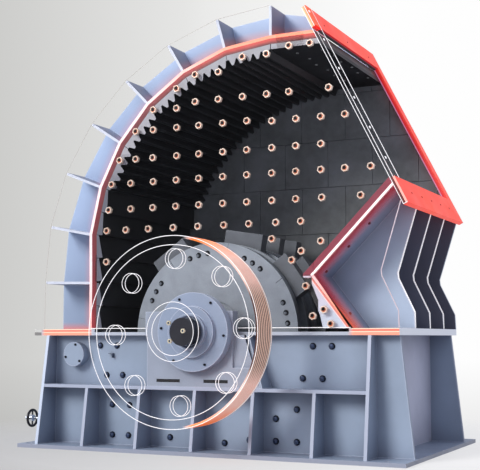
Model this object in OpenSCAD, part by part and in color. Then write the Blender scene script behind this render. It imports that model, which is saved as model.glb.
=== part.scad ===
// Hammer crusher, shown in section: welded base, upper housing, rotor and drive pulley.
// X runs to the feed end, -Y is the drive side, Z is up. The origin is on the floor, under the
// middle of the rotor. All sizes are in millimetres.

/* [Base] */
// Height of the rotor axis and of the split between base and housing
axis_h = 880; // [840:1:960]
// Length of the two flanges at the split
split_len = 3000; // [2960:1:3080]
// Thickness of each flange at the split
split_t = 24; // [18:1:32]
// Overhang of the split flanges past the base side walls
split_overhang = 75; // [60:1:90]
// Overhang of the foot flange past the split flanges' left end
foot_left_out = 5; // [0:1:30]
// Overhang of the foot flange past the split flanges' right end
foot_right_out = 90; // [75:1:110]
// Overhang of the foot flange past the split flanges, on each side
foot_out = 190; // [170:1:220]
// Thickness of the foot flange
foot_t = 28; // [20:1:40]
// Thickness of the base walls and ribs
base_wall_t = 24; // [16:1:30]
// Thickness of the liners in the base
base_liner_t = 38; // [30:1:50]
// Overhang of the split flange past the sloping left end wall
left_top_in = 140; // [110:1:170]
// How far the left end wall leans out down to the foot
left_lean = 10; // [0:1:40]
// Distance from the split flanges' right end in to the right end wall
right_wall_in = 190; // [175:1:200]
// Overhang of the split flange past the side walls' right edge
right_top_in = 20; // [10:1:40]
// How far the side walls' right edge leans out down to the foot
right_lean = 90; // [60:1:100]
// Height of the ledge's middle above the floor
ledge_h = 470; // [440:1:500]
// Thickness of the ledge
ledge_t = 24; // [18:1:30]
// How far the ledge stands out past the split flanges
ledge_out = 86; // [70:1:100]
// How far the tall ribs stand out past the split flanges at their top
rib_top_out = 30; // [10:1:50]
// How far the ribs stand out past the split flanges at the foot
rib_foot_out = 150; // [130:1:165]
// Number of ribs under each ledge
base_rib_count = 5; // [4:1:6]
// Length of the bay between the left end wall and the first rib
left_bay = 404; // [390:1:440]
// Length of the bay between the last rib and the right end wall
right_bay = 408; // [390:1:440]
// Diameter of the anchor holes in the foot
anchor_d = 42; // [36:1:48]
// Distance from the foot's left, near and far edges to the anchor holes
anchor_in = 60; // [50:1:70]
// Distance from the bearing block to the top of the sloping gusset beside it
gusset_gap = 82; // [70:1:110]
// How far that gusset leans out down to the ledge
gusset_lean = 127; // [100:1:140]
// Diameter of the round access cover
cover_d = 186; // [150:1:200]
// How far the access cover stands out from the base wall
cover_deep = 74; // [50:1:90]
// Distance from the left end wall to the middle of the access cover
cover_in = 231; // [200:1:250]
// Distance from the split down to the middle of the access cover
cover_down = 169; // [140:1:190]

/* [Bearings] */
// Bearing block: from the rotor axis to its left side
block_left = 430; // [400:1:450]
// Bearing block: from the rotor axis to its right side
block_right = 290; // [286:1:320]
// How far the panel under the block starts in from the block's left side
panel_inset = 16; // [4:1:30]
// Height above the ledge of the notch between the panel and the sloping gusset
notch_up = 142; // [120:1:160]
// Length of the two slots in the panel
slot_w = 190; // [150:1:220]
// Height of the two slots in the panel
slot_h = 20; // [10:1:24]
// Height of the two slots above the ledge
slot_up = 34; // [20:1:60]
// Distance from the block's left side to the first slot
slot_in = 100; // [80:1:120]
// Height of the bearing block above the rotor axis
block_up = 150; // [140:1:170]
// Diameter of the bearing housing's body
housing_d = 400; // [380:1:420]
// Diameter of the bearing housing's flange
bearing_flange_d = 570; // [540:1:590]
// Thickness of the bearing housing's flange
bearing_flange_t = 70; // [50:1:80]
// Diameter of the middle step on the bearing cover
cover_step_d = 368; // [340:1:390]
// Diameter of the seal ring around the shaft
seal_d = 260; // [240:1:300]
// Thickness of each step of the bearing cover
cover_step_t = 30; // [20:1:35]
// Gap around the shaft where it passes through the walls
shaft_hole_gap = 35; // [25:1:45]
// Radial running clearance of the shaft in its bearings
bearing_gap = 0.05; // [0.02:0.01:0.09]

/* [Rotor] */
// Diameter of the shaft at its bearings
shaft_d = 200; // [180:1:220]
// Diameter of the shaft between the discs
shaft_mid_d = 280; // [260:1:320]
// Diameter of the rotor discs
disc_d = 1350; // [1320:1:1380]
// Length of the rotor over its end discs
rotor_len = 1060; // [1000:1:1080]
// Gap between the rotor's end and the liners in the base
rotor_end_gap = 68; // [40:1:80]
// Number of rotor discs
disc_count = 7; // [5:1:7]
// Thickness of a rotor disc
disc_t = 50; // [40:1:55]
// Thickness of the guard plate on each end disc
guard_t = 15; // [10:1:20]
// Inner diameter of the guard plates
guard_in_d = 460; // [440:1:520]
// Length of the short slits in the rim of the guard plates
slit_len = 60; // [40:1:80]
// Diameter of the circle that the hammer tips run on
hammer_tip_d = 1590; // [1560:1:1610]
// Width of a hammer's head
hammer_w = 316; // [290:1:330]
// Height of a hammer's head along its arm
head_t = 130; // [110:1:145]
// Thickness of a hammer
hammer_t = 96; // [80:1:100]
// Diameter of the circle of hammer pins
pin_circle_d = 1040; // [1000:1:1080]
// Diameter of a hammer pin
pin_d = 80; // [70:1:90]
// Angle of the first hammer above the feed end
hammer_angle = 35.5; // [30:0.5:40]

/* [Pulley] */
// Outer diameter of the drive pulley
pulley_d = 1346; // [1300:1:1360]
// Inner diameter of the pulley's rim
rim_in_d = 1210; // [1180:1:1220]
// Width of the pulley's rim
rim_w = 228; // [200:1:240]
// Distance from the split flanges' edge to the rim's back
pulley_out = 250; // [240:1:270]
// Number of belt grooves
groove_count = 8; // [6:1:9]
// Depth of a belt groove
groove_deep = 20; // [14:1:22]
// Thickness of the pulley's web
web_t = 50; // [40:1:60]
// Diameter of the round holes in the web
web_hole_d = 142; // [130:1:160]
// Diameter of the circle of web holes
web_circle_d = 1032; // [1000:1:1040]
// Turn of the first web hole above the feed end, in degrees
web_turn = 2.5; // [0:0.1:10]
// Diameter of the pulley's hub
hub_d = 420; // [400:1:440]
// Diameter of the turned recess in the hub's face
hub_recess_d = 324; // [300:1:340]
// Depth of the recess in the hub's face
hub_recess_deep = 60; // [50:1:80]
// How far the hub's face lies behind the rim's front
hub_in = 30; // [20:1:40]
// Length of the shaft end inside the hub
shaft_grip = 60; // [50:1:140]

/* [Housing] */
// Gap between the hammer tips and the thick end of the wedge liners at the split
tip_gap = 88; // [66:1:100]
// Height of the middle of the shell's arc above the split
arc_up = 599; // [590:1:610]
// Outer radius of the shell's corners
arc_r = 1562; // [1550:1:1575]
// Thickness of the shell plate
shell_t = 24; // [18:1:26]
// Thickness of the backing plate between shell and liners
backing_t = 42; // [28:1:48]
// Thickness of the liners at their thinnest
liner_t = 38; // [34:1:46]
// Height of the teeth on the serrated liners
tooth_h = 46; // [36:1:50]
// Thickness of a wedge liner at its thin upper end
wedge_t = 20; // [16:1:30]
// How much thicker a wedge liner is at its lower end
wedge_h = 33; // [20:1:44]
// Number of teeth on each serrated liner
teeth = 5; // [4:1:6]
// Thickness of the housing's side walls
wall_t = 20; // [14:1:26]
// Thickness of the wall liners
wall_liner_t = 40; // [30:1:50]
// Size of one square wall liner
wall_liner_w = 394; // [380:1:400]
// Height above the split of the lowest joint between those liners
wall_liner_up = 45; // [30:1:60]
// Distance from the rotor axis to a joint in the odd rows, along X
wall_liner_odd_x = 49; // [30:1:70]
// Distance from that joint to the next one in the even rows
wall_liner_shift = 156; // [140:1:200]
// Joint between neighbouring liners
liner_gap = 4; // [3:1:6]
// How much larger the radius of the fin tips is than that of the shell
tip_more = 395; // [385:1:405]
// How far the middle of the fin tips lies below the shell arc's middle
tip_down = 172; // [160:1:184]
// Thickness of the fins and of the stiffening rings
fin_t = 20; // [14:1:24]
// Distance from the split flanges' edge in to a stiffening ring
ring_in = 270; // [250:1:290]

/* [Feed opening] */
// Top corner of the slanted feed flange, from the rotor axis along X
feed_top_x = 830; // [820:1:840]
// How far the feed flange's top corner stands above the top of the shell arc
feed_top_over = 183; // [170:1:196]
// Length of the feed flange past the feed floor, down its slant
feed_below = 156; // [130:1:170]
// Lean of the feed flange from upright, in degrees
feed_lean = 26.8; // [25:0.1:29]
// Thickness of the feed flange
feed_t = 36; // [30:1:44]
// Width of the feed flange's upper member
feed_upper_w = 175; // [160:1:200]
// Width of the feed flange's lower member
feed_member_w = 208; // [190:1:225]
// Width of the feed flange's side members
feed_side_w = 110; // [95:1:125]
// Nose between the feed floor and the lower plate, along X
nose_x = 879; // [865:1:890]
// Height of the nose above the split
nose_up = 397; // [385:1:410]
// Rise of the feed floor from level, in degrees
floor_rise = 45.5; // [42:0.1:48]
// Foot of the lower plate, along X
lower_x = 1170; // [1155:1:1185]
// Waist of the feed-end ribs: distance from the split flanges' right end
waist_in = 125; // [115:1:140]
// Waist of the feed-end ribs: height above the split
waist_up = 421; // [400:1:440]
// Half height of the waist of the feed-end ribs
waist_half = 42; // [30:1:50]
// Height above the split where the feed-end ribs reach their toe
toe_up = 140; // [120:1:160]
// Distance from the rotor axis to the foot of the wedge liner under the nose
wedge_foot_x = 941; // [910:1:960]
// Thickness of the liner on the feed floor and the lower plate
nose_liner_t = 44; // [36:1:50]

/* [Handwheel] */
// Diameter of the handwheel
wheel_d = 146; // [120:1:160]
// Diameter of the handwheel's rim section
wheel_rim_d = 20; // [12:1:24]
// Diameter of the handwheel's spindle
spindle_d = 24; // [20:1:28]
// Height of the handwheel above the floor
wheel_h = 205; // [190:1:240]
// Distance from the split flanges' edge in to the handwheel's spindle
wheel_in = 50; // [40:1:60]
// Length of the bush that carries the spindle
bush_len = 60; // [50:1:70]
// Distance from the bush to the middle of the handwheel
wheel_reach = 117; // [95:1:125]
// How far the spindle stands out past the middle of the handwheel
spindle_out = 60; // [30:1:80]

/* [Hidden] */

$fn = 96;

// Seating gap between slanted faces that lie on each other
seat_gap = 0.3;

// Widths grow outwards from the rotor: liners, base walls, split flanges, ledges and foot
rotor_half = rotor_len / 2;
open_half = rotor_half + guard_t + rotor_end_gap + base_liner_t;
base_half = open_half + base_wall_t;
half_w = base_half + split_overhang;
inner_half = half_w - wall_t;
ledge_y = half_w + ledge_out;
rib_top_y = half_w + rib_top_out;
rib_foot_y = half_w + rib_foot_out;
foot_half = half_w + foot_out;
pulley_y = half_w + pulley_out;
ring_y = half_w - ring_in;
split_half = split_len / 2;
base_deck_z = axis_h - split_t;
housing_deck_z = axis_h + split_t;
shaft_hole_r = shaft_d / 2 + shaft_hole_gap;
blue = [0.58, 0.64, 0.74];
liner_grey = [0.2, 0.2, 0.22];
cut_red = [1, 0.4, 0.28];

// Base: the sloping ends
left_top_x = -split_half + left_top_in;
left_foot_x = left_top_x - left_lean;
right_wall_x = split_half - right_wall_in;
right_top_x = split_half - right_top_in;
right_foot_x = right_top_x + right_lean;

foot_left = split_half + foot_left_out;
foot_right = split_half + foot_right_out;
base_rib_x0 = left_top_x + left_bay;
base_rib_pitch = (right_wall_x - right_bay - base_rib_x0) / (base_rib_count - 1);

// Shell: corners every 14 degrees, the first one above the arc's middle
facet_angle = 14;
facet_count = 7;
serrated_count = 5;
half_facet = facet_angle / 2;
backing_r = arc_r - shell_t / cos(half_facet);
liner_r = backing_r - backing_t / cos(half_facet);
fin_step = 13;

// The shell's arc lies so far along X that the wedge liners keep their gap to the hammer tips
arc_x = liner_r * cos(facet_angle * facet_count - 90)
    - (hammer_tip_d / 2 + tip_gap + wedge_t + wedge_h);
function polar(c, r, a) = [c[0] + r * cos(a), c[1] + r * sin(a)];
arc_c = [arc_x, axis_h + arc_up];
tip_c = arc_c - [0, tip_down];
tip_r = arc_r + tip_more;
function corner(r, k) = polar(arc_c, r, 90 + facet_angle * k);
function fin_tip(k) = polar(tip_c, tip_r, 90 + fin_step * k);

// Feed flange: a slanted line down from its top corner
feed_top = [feed_top_x, axis_h + arc_up + arc_r + feed_top_over];
function feed_point(s, inward) = [
    feed_top[0] + s * sin(feed_lean) - inward * cos(feed_lean),
    feed_top[1] - s * cos(feed_lean) - inward * sin(feed_lean)
];
// What ends at the flange's back stops a seating gap short of it
feed_seat = feed_t + seat_gap;
function feed_back_x(z) = feed_top[0] + (feed_top[1] - z) * tan(feed_lean) - feed_seat / cos(feed_lean);

// Nose plates: each layer lies t mm from the rib side, on the chamber side of the nose
nose = [nose_x, axis_h + nose_up];
lower_run = [lower_x - nose[0], housing_deck_z - nose[1]];
floor_dir = [cos(floor_rise), sin(floor_rise)];
floor_out = [-floor_dir[1], floor_dir[0]];
lower_out = [lower_run[1], -lower_run[0]] / norm(lower_run);
feed_out = [cos(feed_lean), sin(feed_lean)];
function nose_at(t) = nose + t * (floor_out + lower_out) / (1 + floor_out * lower_out);
function lower_at(t) = [lower_x + t / lower_out[0], housing_deck_z];
function floor_at(t) = nose_at(t)
    + floor_dir * (-feed_seat - (nose_at(t) - feed_top) * feed_out) / (floor_dir * feed_out);
function nose_layer(t0, t1) =
    [lower_at(t0), nose_at(t0), floor_at(t0), floor_at(t1), nose_at(t1), lower_at(t1)];

// Opening through the split flanges, from the backing plate to the lower plate
open_left = corner(liner_r, facet_count)[0];
open_right = lower_at(shell_t)[0];

feed_down = [sin(feed_lean), -cos(feed_lean)];
feed_len = (floor_at(0) - feed_top) * feed_down + feed_below;

waist_x = split_half - waist_in;
// Free edge of the feed-end ribs: feed flange, waist, toe and split flange
rib_edge = [
    feed_point(feed_len - feed_t, feed_seat),
    [waist_x + waist_half / 3, axis_h + waist_up + waist_half],
    [waist_x, axis_h + waist_up],
    [waist_x + waist_half / 10, axis_h + waist_up - waist_half],
    [split_half - waist_half / 7, axis_h + toe_up],
    [split_half, housing_deck_z],
];

// Chain of points along the shell, from the split flange over the arc to the feed flange
function chain(r) = concat(
    [[corner(r, facet_count)[0], housing_deck_z]],
    [for (k = [facet_count:-1:0]) corner(r, k)],
    [[feed_back_x(corner(r, 0)[1]), corner(r, 0)[1]]]
);
function flip(list) = [for (i = [len(list) - 1:-1:0]) list[i]];

// Outline of a housing side wall
wall_outline = concat(
    [[fin_tip(facet_count)[0], housing_deck_z]],
    [for (k = [facet_count:-1:0]) fin_tip(k)],
    [feed_point(0, feed_seat)],
    [feed_point(feed_len - feed_t, feed_seat)],
    [for (i = [1:len(rib_edge) - 1]) rib_edge[i]]
);
// The nose's solid corner, below the feed floor and outside the lower plate
nose_outline = concat([lower_at(0), nose_at(0), floor_at(0)], rib_edge);

// Extrudes an X-Z outline from y0 to y1
module across(y0, y1) {
    translate([0, y1, 0]) rotate([90, 0, 0]) linear_extrude(height = y1 - y0) children();
}
// A round bar along Y
module bar_y(d, y0, y1) {
    translate([0, y1, 0]) rotate([90, 0, 0]) cylinder(d = d, h = y1 - y0);
}
// A round bar along Y on the rotor axis
module axis_bar(d, y0, y1) {
    translate([0, 0, axis_h]) bar_y(d, y0, y1);
}
module box(x0, x1, y0, y1, z0, z1) {
    translate([x0, y0, z0]) cube([x1 - x0, y1 - y0, z1 - z0]);
}
// A plate with a rectangular opening
module frame_plate(x0, x1, y_half, z0, z1, in_x0, in_x1, in_half) {
    difference() {
        box(x0, x1, -y_half, y_half, z0, z1);
        box(in_x0, in_x1, -in_half, in_half, z0 - 1, z1 + 1);
    }
}
// Draws its children on the drive side, or mirrored on the far side
module on_side(far) {
    mirror([0, far ? 1 : 0, 0]) children();
}

// ---- base ----
anchor_x = foot_left - anchor_in;
module foot_flange() {
    color(blue) difference() {
        frame_plate(-foot_left, foot_right, foot_half, 0, foot_t,
            left_foot_x + 2 * base_wall_t, right_wall_x - base_wall_t, open_half);
        for (sx = [-1, 1], sy = [-1, 1])
            translate([sx * anchor_x, sy * (foot_half - anchor_in), -1])
                cylinder(d = anchor_d, h = foot_t + 2);
    }
}
module base_wall() {
    difference() {
        across(-base_half, -base_half + base_wall_t) polygon([
            [left_foot_x + base_wall_t, foot_t],
            [left_top_x + base_wall_t, base_deck_z],
            [right_top_x, base_deck_z],
            [right_foot_x, foot_t],
        ]);
        axis_bar(2 * shaft_hole_r, -base_half - 1, -base_half + base_wall_t + 1);
    }
}
module near_base_wall() { color(blue) on_side(false) base_wall(); }
module far_base_wall() { color(blue) on_side(true) base_wall(); }
module left_end_wall() {
    color(blue) difference() {
        across(-rib_foot_y, rib_foot_y) polygon([
            [left_foot_x, foot_t],
            [left_top_x, base_deck_z],
            [left_top_x + base_wall_t, base_deck_z],
            [left_foot_x + base_wall_t, foot_t],
        ]);
        for (side = [0, 1]) mirror([0, side, 0]) slope_cut();
    }
}
// Cuts away what lies outside the sloping front edges of the ribs and the left end wall
module slope_cut() {
    translate([-split_len, 0, 0]) rotate([90, 0, 90]) linear_extrude(height = 2 * split_len)
        polygon([
            [-rib_foot_y, foot_t],
            [-rib_top_y, base_deck_z],
            [-rib_top_y, axis_h],
            [-foot_half, axis_h],
            [-foot_half, foot_t],
        ]);
}
module right_end_wall() {
    color(blue) box(right_wall_x - base_wall_t, right_wall_x,
        -base_half + base_wall_t, base_half - base_wall_t, foot_t, base_deck_z);
}
module base_split_flange() {
    color(blue) difference() {
        frame_plate(-split_half, split_half, half_w, base_deck_z, axis_h,
            open_left, open_right, open_half);
        box(-shaft_hole_r, shaft_hole_r, -half_w - 1, half_w + 1, base_deck_z - 1, axis_h + 1);
    }
}
module ledge() {
    difference() {
        box(left_foot_x, right_wall_x - base_wall_t, -ledge_y, -base_half,
            ledge_h - ledge_t / 2, ledge_h + ledge_t / 2);
        across(-foot_half, foot_half) polygon([
            [left_foot_x - 10, foot_t],
            [left_foot_x + base_wall_t, foot_t],
            [left_top_x + base_wall_t, base_deck_z],
            [left_foot_x - 10, base_deck_z],
        ]);
    }
}
module near_ledge() { color(blue) on_side(false) ledge(); }
module far_ledge() { color(blue) on_side(true) ledge(); }
module base_ribs() {
    difference() {
        union() {
            for (i = [0:base_rib_count - 1])
                translate([base_rib_x0 + i * base_rib_pitch, 0, 0])
                    box(0, base_wall_t, -rib_foot_y, -base_half, foot_t, ledge_h - ledge_t / 2);
            box(right_wall_x - base_wall_t, right_wall_x, -rib_foot_y, -base_half, foot_t, base_deck_z);
            gusset_rib();
        }
        slope_cut();
    }
}
// The sloping gusset beside the bearing block, and its left face at height z
ledge_top_z = ledge_h + ledge_t / 2;
function gusset_x(z) = block_right + gusset_gap
    + gusset_lean * (base_deck_z - z) / (base_deck_z - ledge_top_z);
module gusset_rib() {
    across(-ledge_y, -base_half) polygon([
        [gusset_x(base_deck_z), base_deck_z],
        [gusset_x(base_deck_z) + base_wall_t, base_deck_z],
        [gusset_x(ledge_top_z) + base_wall_t, ledge_top_z],
        [gusset_x(ledge_top_z), ledge_top_z],
    ]);
}
module near_base_ribs() { color(blue) on_side(false) base_ribs(); }
module far_base_ribs() { color(blue) on_side(true) base_ribs(); }

// ---- bearings and fittings ----
// The bearing block and the panel below it. The panel runs up into the block, and on to the
// gusset under a notch that a thinner plate closes
notch_z = ledge_top_z + notch_up;
thin_t = base_wall_t / 3;
module pedestal() {
    difference() {
        union() {
            across(-ledge_y, -ledge_y + base_wall_t) polygon([
                [panel_inset - block_left, ledge_top_z],
                [panel_inset - block_left, axis_h],
                [block_right, axis_h],
                [block_right, notch_z],
                [gusset_x(notch_z) - seat_gap, notch_z],
                [gusset_x(ledge_top_z) - seat_gap, ledge_top_z],
            ]);
            across(-ledge_y + base_wall_t - thin_t, -ledge_y + base_wall_t) polygon([
                [block_right - thin_t, notch_z - thin_t],
                [block_right - thin_t, base_deck_z],
                [gusset_x(base_deck_z) - seat_gap, base_deck_z],
                [gusset_x(notch_z - thin_t) - seat_gap, notch_z - thin_t],
            ]);
            box(-block_left, block_right, -ledge_y, -half_w, base_deck_z, axis_h + block_up);
        }
        axis_bar(housing_d, -ledge_y - 1, -half_w + 1);
        for (x = [slot_in - block_left, block_right - slot_w - 0.4 * slot_in])
            translate([x, -ledge_y - 1, ledge_top_z + slot_up]) cube([slot_w, base_wall_t + 2, slot_h]);
    }
}
module near_pedestal() { color(blue) on_side(false) pedestal(); }
module far_pedestal() { color(blue) on_side(true) pedestal(); }

flange_face_y = ledge_y + bearing_flange_t;
seal_face_y = flange_face_y + 2 * cover_step_t;
module bearing_housing() {
    axis_bar(housing_d, -ledge_y, -half_w);
    axis_bar(bearing_flange_d, -flange_face_y, -ledge_y);
    axis_bar(cover_step_d, -flange_face_y - cover_step_t, -flange_face_y);
    axis_bar(seal_d, -seal_face_y, -flange_face_y - cover_step_t);
}
bearing_bore_d = shaft_d + 2 * bearing_gap;
far_shaft_end_y = flange_face_y - 10;
module near_bearing_housing() {
    color([0.63, 0.68, 0.78]) difference() {
        bearing_housing();
        axis_bar(bearing_bore_d, -seal_face_y - 1, -half_w + 1);
    }
}
module far_bearing_housing() {
    color([0.63, 0.68, 0.78]) difference() {
        mirror([0, 1, 0]) bearing_housing();
        axis_bar(bearing_bore_d, half_w - 1, far_shaft_end_y + 2);
    }
}
module access_cover() {
    color(blue) translate([left_top_x + cover_in, 0, axis_h - cover_down])
        bar_y(cover_d, -base_half - cover_deep, -base_half);
}

// Handwheel: its spindle turns in a bush on the left end wall
wheel_y = half_w - wheel_in;
bush_d = 2.6 * spindle_d;
wheel_wall_x = left_foot_x + left_lean * (wheel_h - foot_t) / (base_deck_z - foot_t);
bush_face_x = wheel_wall_x - bush_len;
wheel_x = bush_face_x - wheel_reach;
module on_spindle() {
    translate([0, -wheel_y, wheel_h]) rotate([0, -90, 0]) children();
}
// The spindle's inner end stops short of the bottom of its bore
bush_bore_len = bush_len - spindle_d / 2;
spindle_tip_x = bush_face_x + bush_bore_len - 1;
module spindle_bracket() {
    color("silver") difference() {
        on_spindle() translate([0, 0, -wheel_wall_x - spindle_d])
            cylinder(d = bush_d, h = bush_len + spindle_d);
        on_spindle() translate([0, 0, -bush_face_x - bush_bore_len])
            cylinder(d = spindle_d + 2 * bearing_gap, h = bush_len);
        across(-rib_foot_y, 0) polygon([
            [left_foot_x, foot_t],
            [left_top_x, base_deck_z],
            [left_top_x + split_overhang, base_deck_z],
            [left_foot_x + split_overhang, foot_t],
        ]);
    }
}
spoke_w = 0.4 * spindle_d;
module handwheel() {
    color([0.12, 0.12, 0.13]) on_spindle() {
        translate([0, 0, -spindle_tip_x]) cylinder(d = spindle_d, h = spindle_tip_x - wheel_x + spindle_out);
        translate([0, 0, -wheel_x - spindle_d / 2]) cylinder(d = 2 * spindle_d, h = spindle_d);
        translate([0, 0, -wheel_x]) rotate_extrude()
            translate([(wheel_d - wheel_rim_d) / 2, 0]) circle(d = wheel_rim_d);
        for (a = [0:90:270])
            rotate(a) translate([0.8 * spindle_d, -spoke_w / 2, -wheel_x - spoke_w / 2])
                cube([(wheel_d - wheel_rim_d) / 2 - 0.8 * spindle_d, spoke_w, spoke_w]);
    }
}

// ---- liners in the base ----
base_liner_count = 6;
base_liner_x0 = open_left + 3 * liner_gap;
base_liner_pitch = (open_right - 10 * liner_gap - base_liner_x0) / base_liner_count;
base_liner_z = foot_t + 5 * liner_gap;
module base_liners() {
    difference() {
        for (i = [0:base_liner_count - 1])
            translate([base_liner_x0 + i * base_liner_pitch, -open_half, base_liner_z])
                cube([base_liner_pitch - liner_gap, base_liner_t, base_deck_z - liner_gap - base_liner_z]);
        axis_bar(2 * shaft_hole_r, -base_half, -open_half + base_liner_t + 1);
    }
}
module near_base_liners() { color(liner_grey) on_side(false) base_liners(); }
module far_base_liners() { color(liner_grey) on_side(true) base_liners(); }

// ---- upper housing ----
module shaft_notch(y0, y1) {
    axis_bar(2 * shaft_hole_r, y0, y1);
}
module housing_split_flange() {
    color(blue) difference() {
        frame_plate(-split_half, split_half, half_w, axis_h, housing_deck_z,
            open_left, open_right, open_half);
        box(open_left, open_right, -half_w - 1, -open_half + 1, axis_h - 1, housing_deck_z + 1);
        shaft_notch(open_half - 1, half_w + 1);
    }
}
// Clear wall on the drive side, with its strip of the split flange
module near_side_wall() {
    color([0.85, 0.9, 0.95, 0.15]) difference() {
        union() {
            across(-half_w, -inner_half) difference() {
                polygon(wall_outline);
                polygon(nose_outline);
            }
            box(open_left, open_right, -half_w, -open_half, axis_h, housing_deck_z);
        }
        shaft_notch(-half_w - 1, -open_half + 1);
    }
}
module far_side_wall() {
    color(blue) difference() {
        across(inner_half, half_w) polygon(wall_outline);
        shaft_notch(inner_half - 1, half_w + 1);
    }
}
// A layer along the arc between two radii
module arc_layer(r_out, r_in) {
    across(-inner_half, inner_half) polygon(concat(chain(r_out), flip(chain(r_in))));
}
module shell_plate() { color(blue) arc_layer(arc_r, backing_r); }
module shell_backing() { color([0.45, 0.12, 0.16]) arc_layer(backing_r, liner_r); }

liner_y1 = inner_half - wall_liner_t;
// Turns an outline drawn against facet k: first axis outwards, second axis down the facet
module on_facet(k) {
    across(-inner_half, liner_y1) translate(arc_c) rotate(90 + facet_angle * k + half_facet) children();
}
liner_back = liner_r * cos(half_facet) - seat_gap;
function half_at(depth) = (liner_back - depth) * tan(half_facet) - liner_gap / 2;
tooth_pitch = 2 * half_at(liner_t + tooth_h) / teeth;
function tooth(i) = let (v = -half_at(liner_t + tooth_h) + i * tooth_pitch, low = liner_back - liner_t)
    [[low, v + 0.06 * tooth_pitch], [low - tooth_h, v + 0.36 * tooth_pitch],
     [low - tooth_h, v + 0.6 * tooth_pitch], [low, v + 0.9 * tooth_pitch]];
module serrated_liners() {
    color(liner_grey) for (k = [0:serrated_count - 1])
        on_facet(k) polygon(concat(
            [[liner_back, -half_at(0)], [liner_back - liner_t, -half_at(liner_t)]],
            [for (i = [0:teeth - 1]) each tooth(i)],
            [[liner_back - liner_t, half_at(liner_t)], [liner_back, half_at(0)]]
        ));
}
// Wedge liners: two to a facet, thicker at the lower end
module wedge_pair(half_out, half_thin, half_thick) {
    for (side = [0, 1])
        polygon([
            [liner_back, side * (half_out + liner_gap / 2) - half_out],
            [liner_back - wedge_t, side * (half_thin + liner_gap / 2) - half_thin],
            [liner_back - wedge_t - wedge_h, side * (half_thick + liner_gap / 2) - liner_gap / 2],
            [liner_back, side * (half_out + liner_gap / 2) - liner_gap / 2],
        ]);
}
upright_top = corner(liner_r, facet_count)[1] - 3 * liner_gap;
upright_mid = (upright_top + housing_deck_z) / 2;
module wedge_liners() {
    color(liner_grey) {
        for (k = [serrated_count:facet_count - 1])
            on_facet(k) wedge_pair(half_at(0), half_at(wedge_t), half_at(wedge_t + wedge_h));
        for (top = [upright_top, upright_mid])
            across(-inner_half, liner_y1) polygon([
                [open_left + seat_gap, top - upright_top + upright_mid + liner_gap],
                [open_left + seat_gap, top],
                [open_left + wedge_t, top],
                [open_left + wedge_t + wedge_h, top - upright_top + upright_mid + liner_gap],
            ]);
    }
}
roof_z = corner(liner_r, 0)[1];
module roof_liner() {
    color(liner_grey) across(-inner_half, liner_y1) polygon([
        [arc_x + liner_gap, roof_z],
        [arc_x + liner_gap, roof_z - liner_t],
        [feed_back_x(roof_z - liner_t), roof_z - liner_t],
        [feed_back_x(roof_z), roof_z],
    ]);
}
chamber = concat(
    chain(liner_r),
    [floor_at(shell_t), nose_at(shell_t), lower_at(shell_t)]
);
liner_rows = ceil((roof_z - axis_h - wall_liner_up) / wall_liner_w);
liner_cols = ceil((floor_at(0)[0] - open_left) / wall_liner_w);
module far_wall_liners() {
    color(liner_grey) difference() {
        intersection() {
            across(liner_y1, inner_half) polygon(chamber);
            for (row = [-1:liner_rows - 1], col = [-liner_cols:liner_cols])
                translate([
                    wall_liner_odd_x + (row % 2 == 0 ? wall_liner_shift : 0) + col * wall_liner_w,
                    liner_y1,
                    axis_h + wall_liner_up + row * wall_liner_w
                ]) cube([wall_liner_w - liner_gap, wall_liner_t, wall_liner_w - liner_gap]);
        }
        shaft_notch(liner_y1 - 1, inner_half + 1);
    }
}

// ---- fins and rings outside the shell ----
module fin(k) {
    root = corner(arc_r, k);
    run = fin_tip(k) - root;
    side = [-run[1], run[0]] / norm(run) * fin_t / 2;
    start = root - run / norm(run) * fin_t;
    polygon([start - side, fin_tip(k) - side, fin_tip(k) + side, start + side]);
}
module shell_core(y) { across(-y, y) polygon(chain(arc_r)); }
module shell_fins() {
    color(blue) difference() {
        across(-inner_half, inner_half) for (k = [0:facet_count]) fin(k);
        shell_core(half_w);
        shell_trim();
    }
}
// Cuts away what stands past the outline of the side walls
module shell_trim() {
    difference() {
        box(-2 * arc_r, 2 * arc_r, -half_w, half_w, 0, 3 * arc_r);
        across(-foot_half, foot_half) polygon(wall_outline);
    }
}
module stiffening_ring() {
    across(-ring_y - fin_t / 2, -ring_y + fin_t / 2) difference() {
        polygon(concat(
            [[fin_tip(facet_count)[0], housing_deck_z]],
            [for (k = [facet_count:-1:0]) fin_tip(k)],
            [feed_point(0, feed_seat), chain(arc_r)[facet_count + 2]],
            flip(chain(arc_r))
        ));
        for (k = [0:facet_count]) fin(k);
    }
}
module near_stiffening_ring() { color([0.7, 0.79, 0.91]) on_side(false) stiffening_ring(); }
module far_stiffening_ring() { color([0.7, 0.79, 0.91]) on_side(true) stiffening_ring(); }

// ---- feed end ----
module feed_strip(s0, s1, y0, y1) {
    across(y0, y1)
        polygon([feed_point(s0, 0), feed_point(s1, 0), feed_point(s1, feed_t), feed_point(s0, feed_t)]);
}
module feed_flange() {
    color(cut_red) {
        feed_strip(0, feed_upper_w, -half_w, half_w);
        feed_strip(feed_len - feed_member_w, feed_len, -half_w, half_w);
        feed_strip(0, feed_len, half_w - feed_side_w, half_w);
    }
}
module near_feed_member() {
    color([0.9, 0.9, 0.95, 0.3])
        feed_strip(feed_upper_w, feed_len - feed_member_w, -half_w, -half_w + feed_side_w);
}
module feed_floor() {
    color(blue) across(-inner_half, inner_half)
        polygon([nose_at(0), floor_at(0), floor_at(shell_t), nose_at(shell_t)]);
}
module lower_plate() {
    color(blue) across(-inner_half, inner_half)
        polygon([lower_at(0), nose_at(0), nose_at(shell_t), lower_at(shell_t)]);
}
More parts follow.
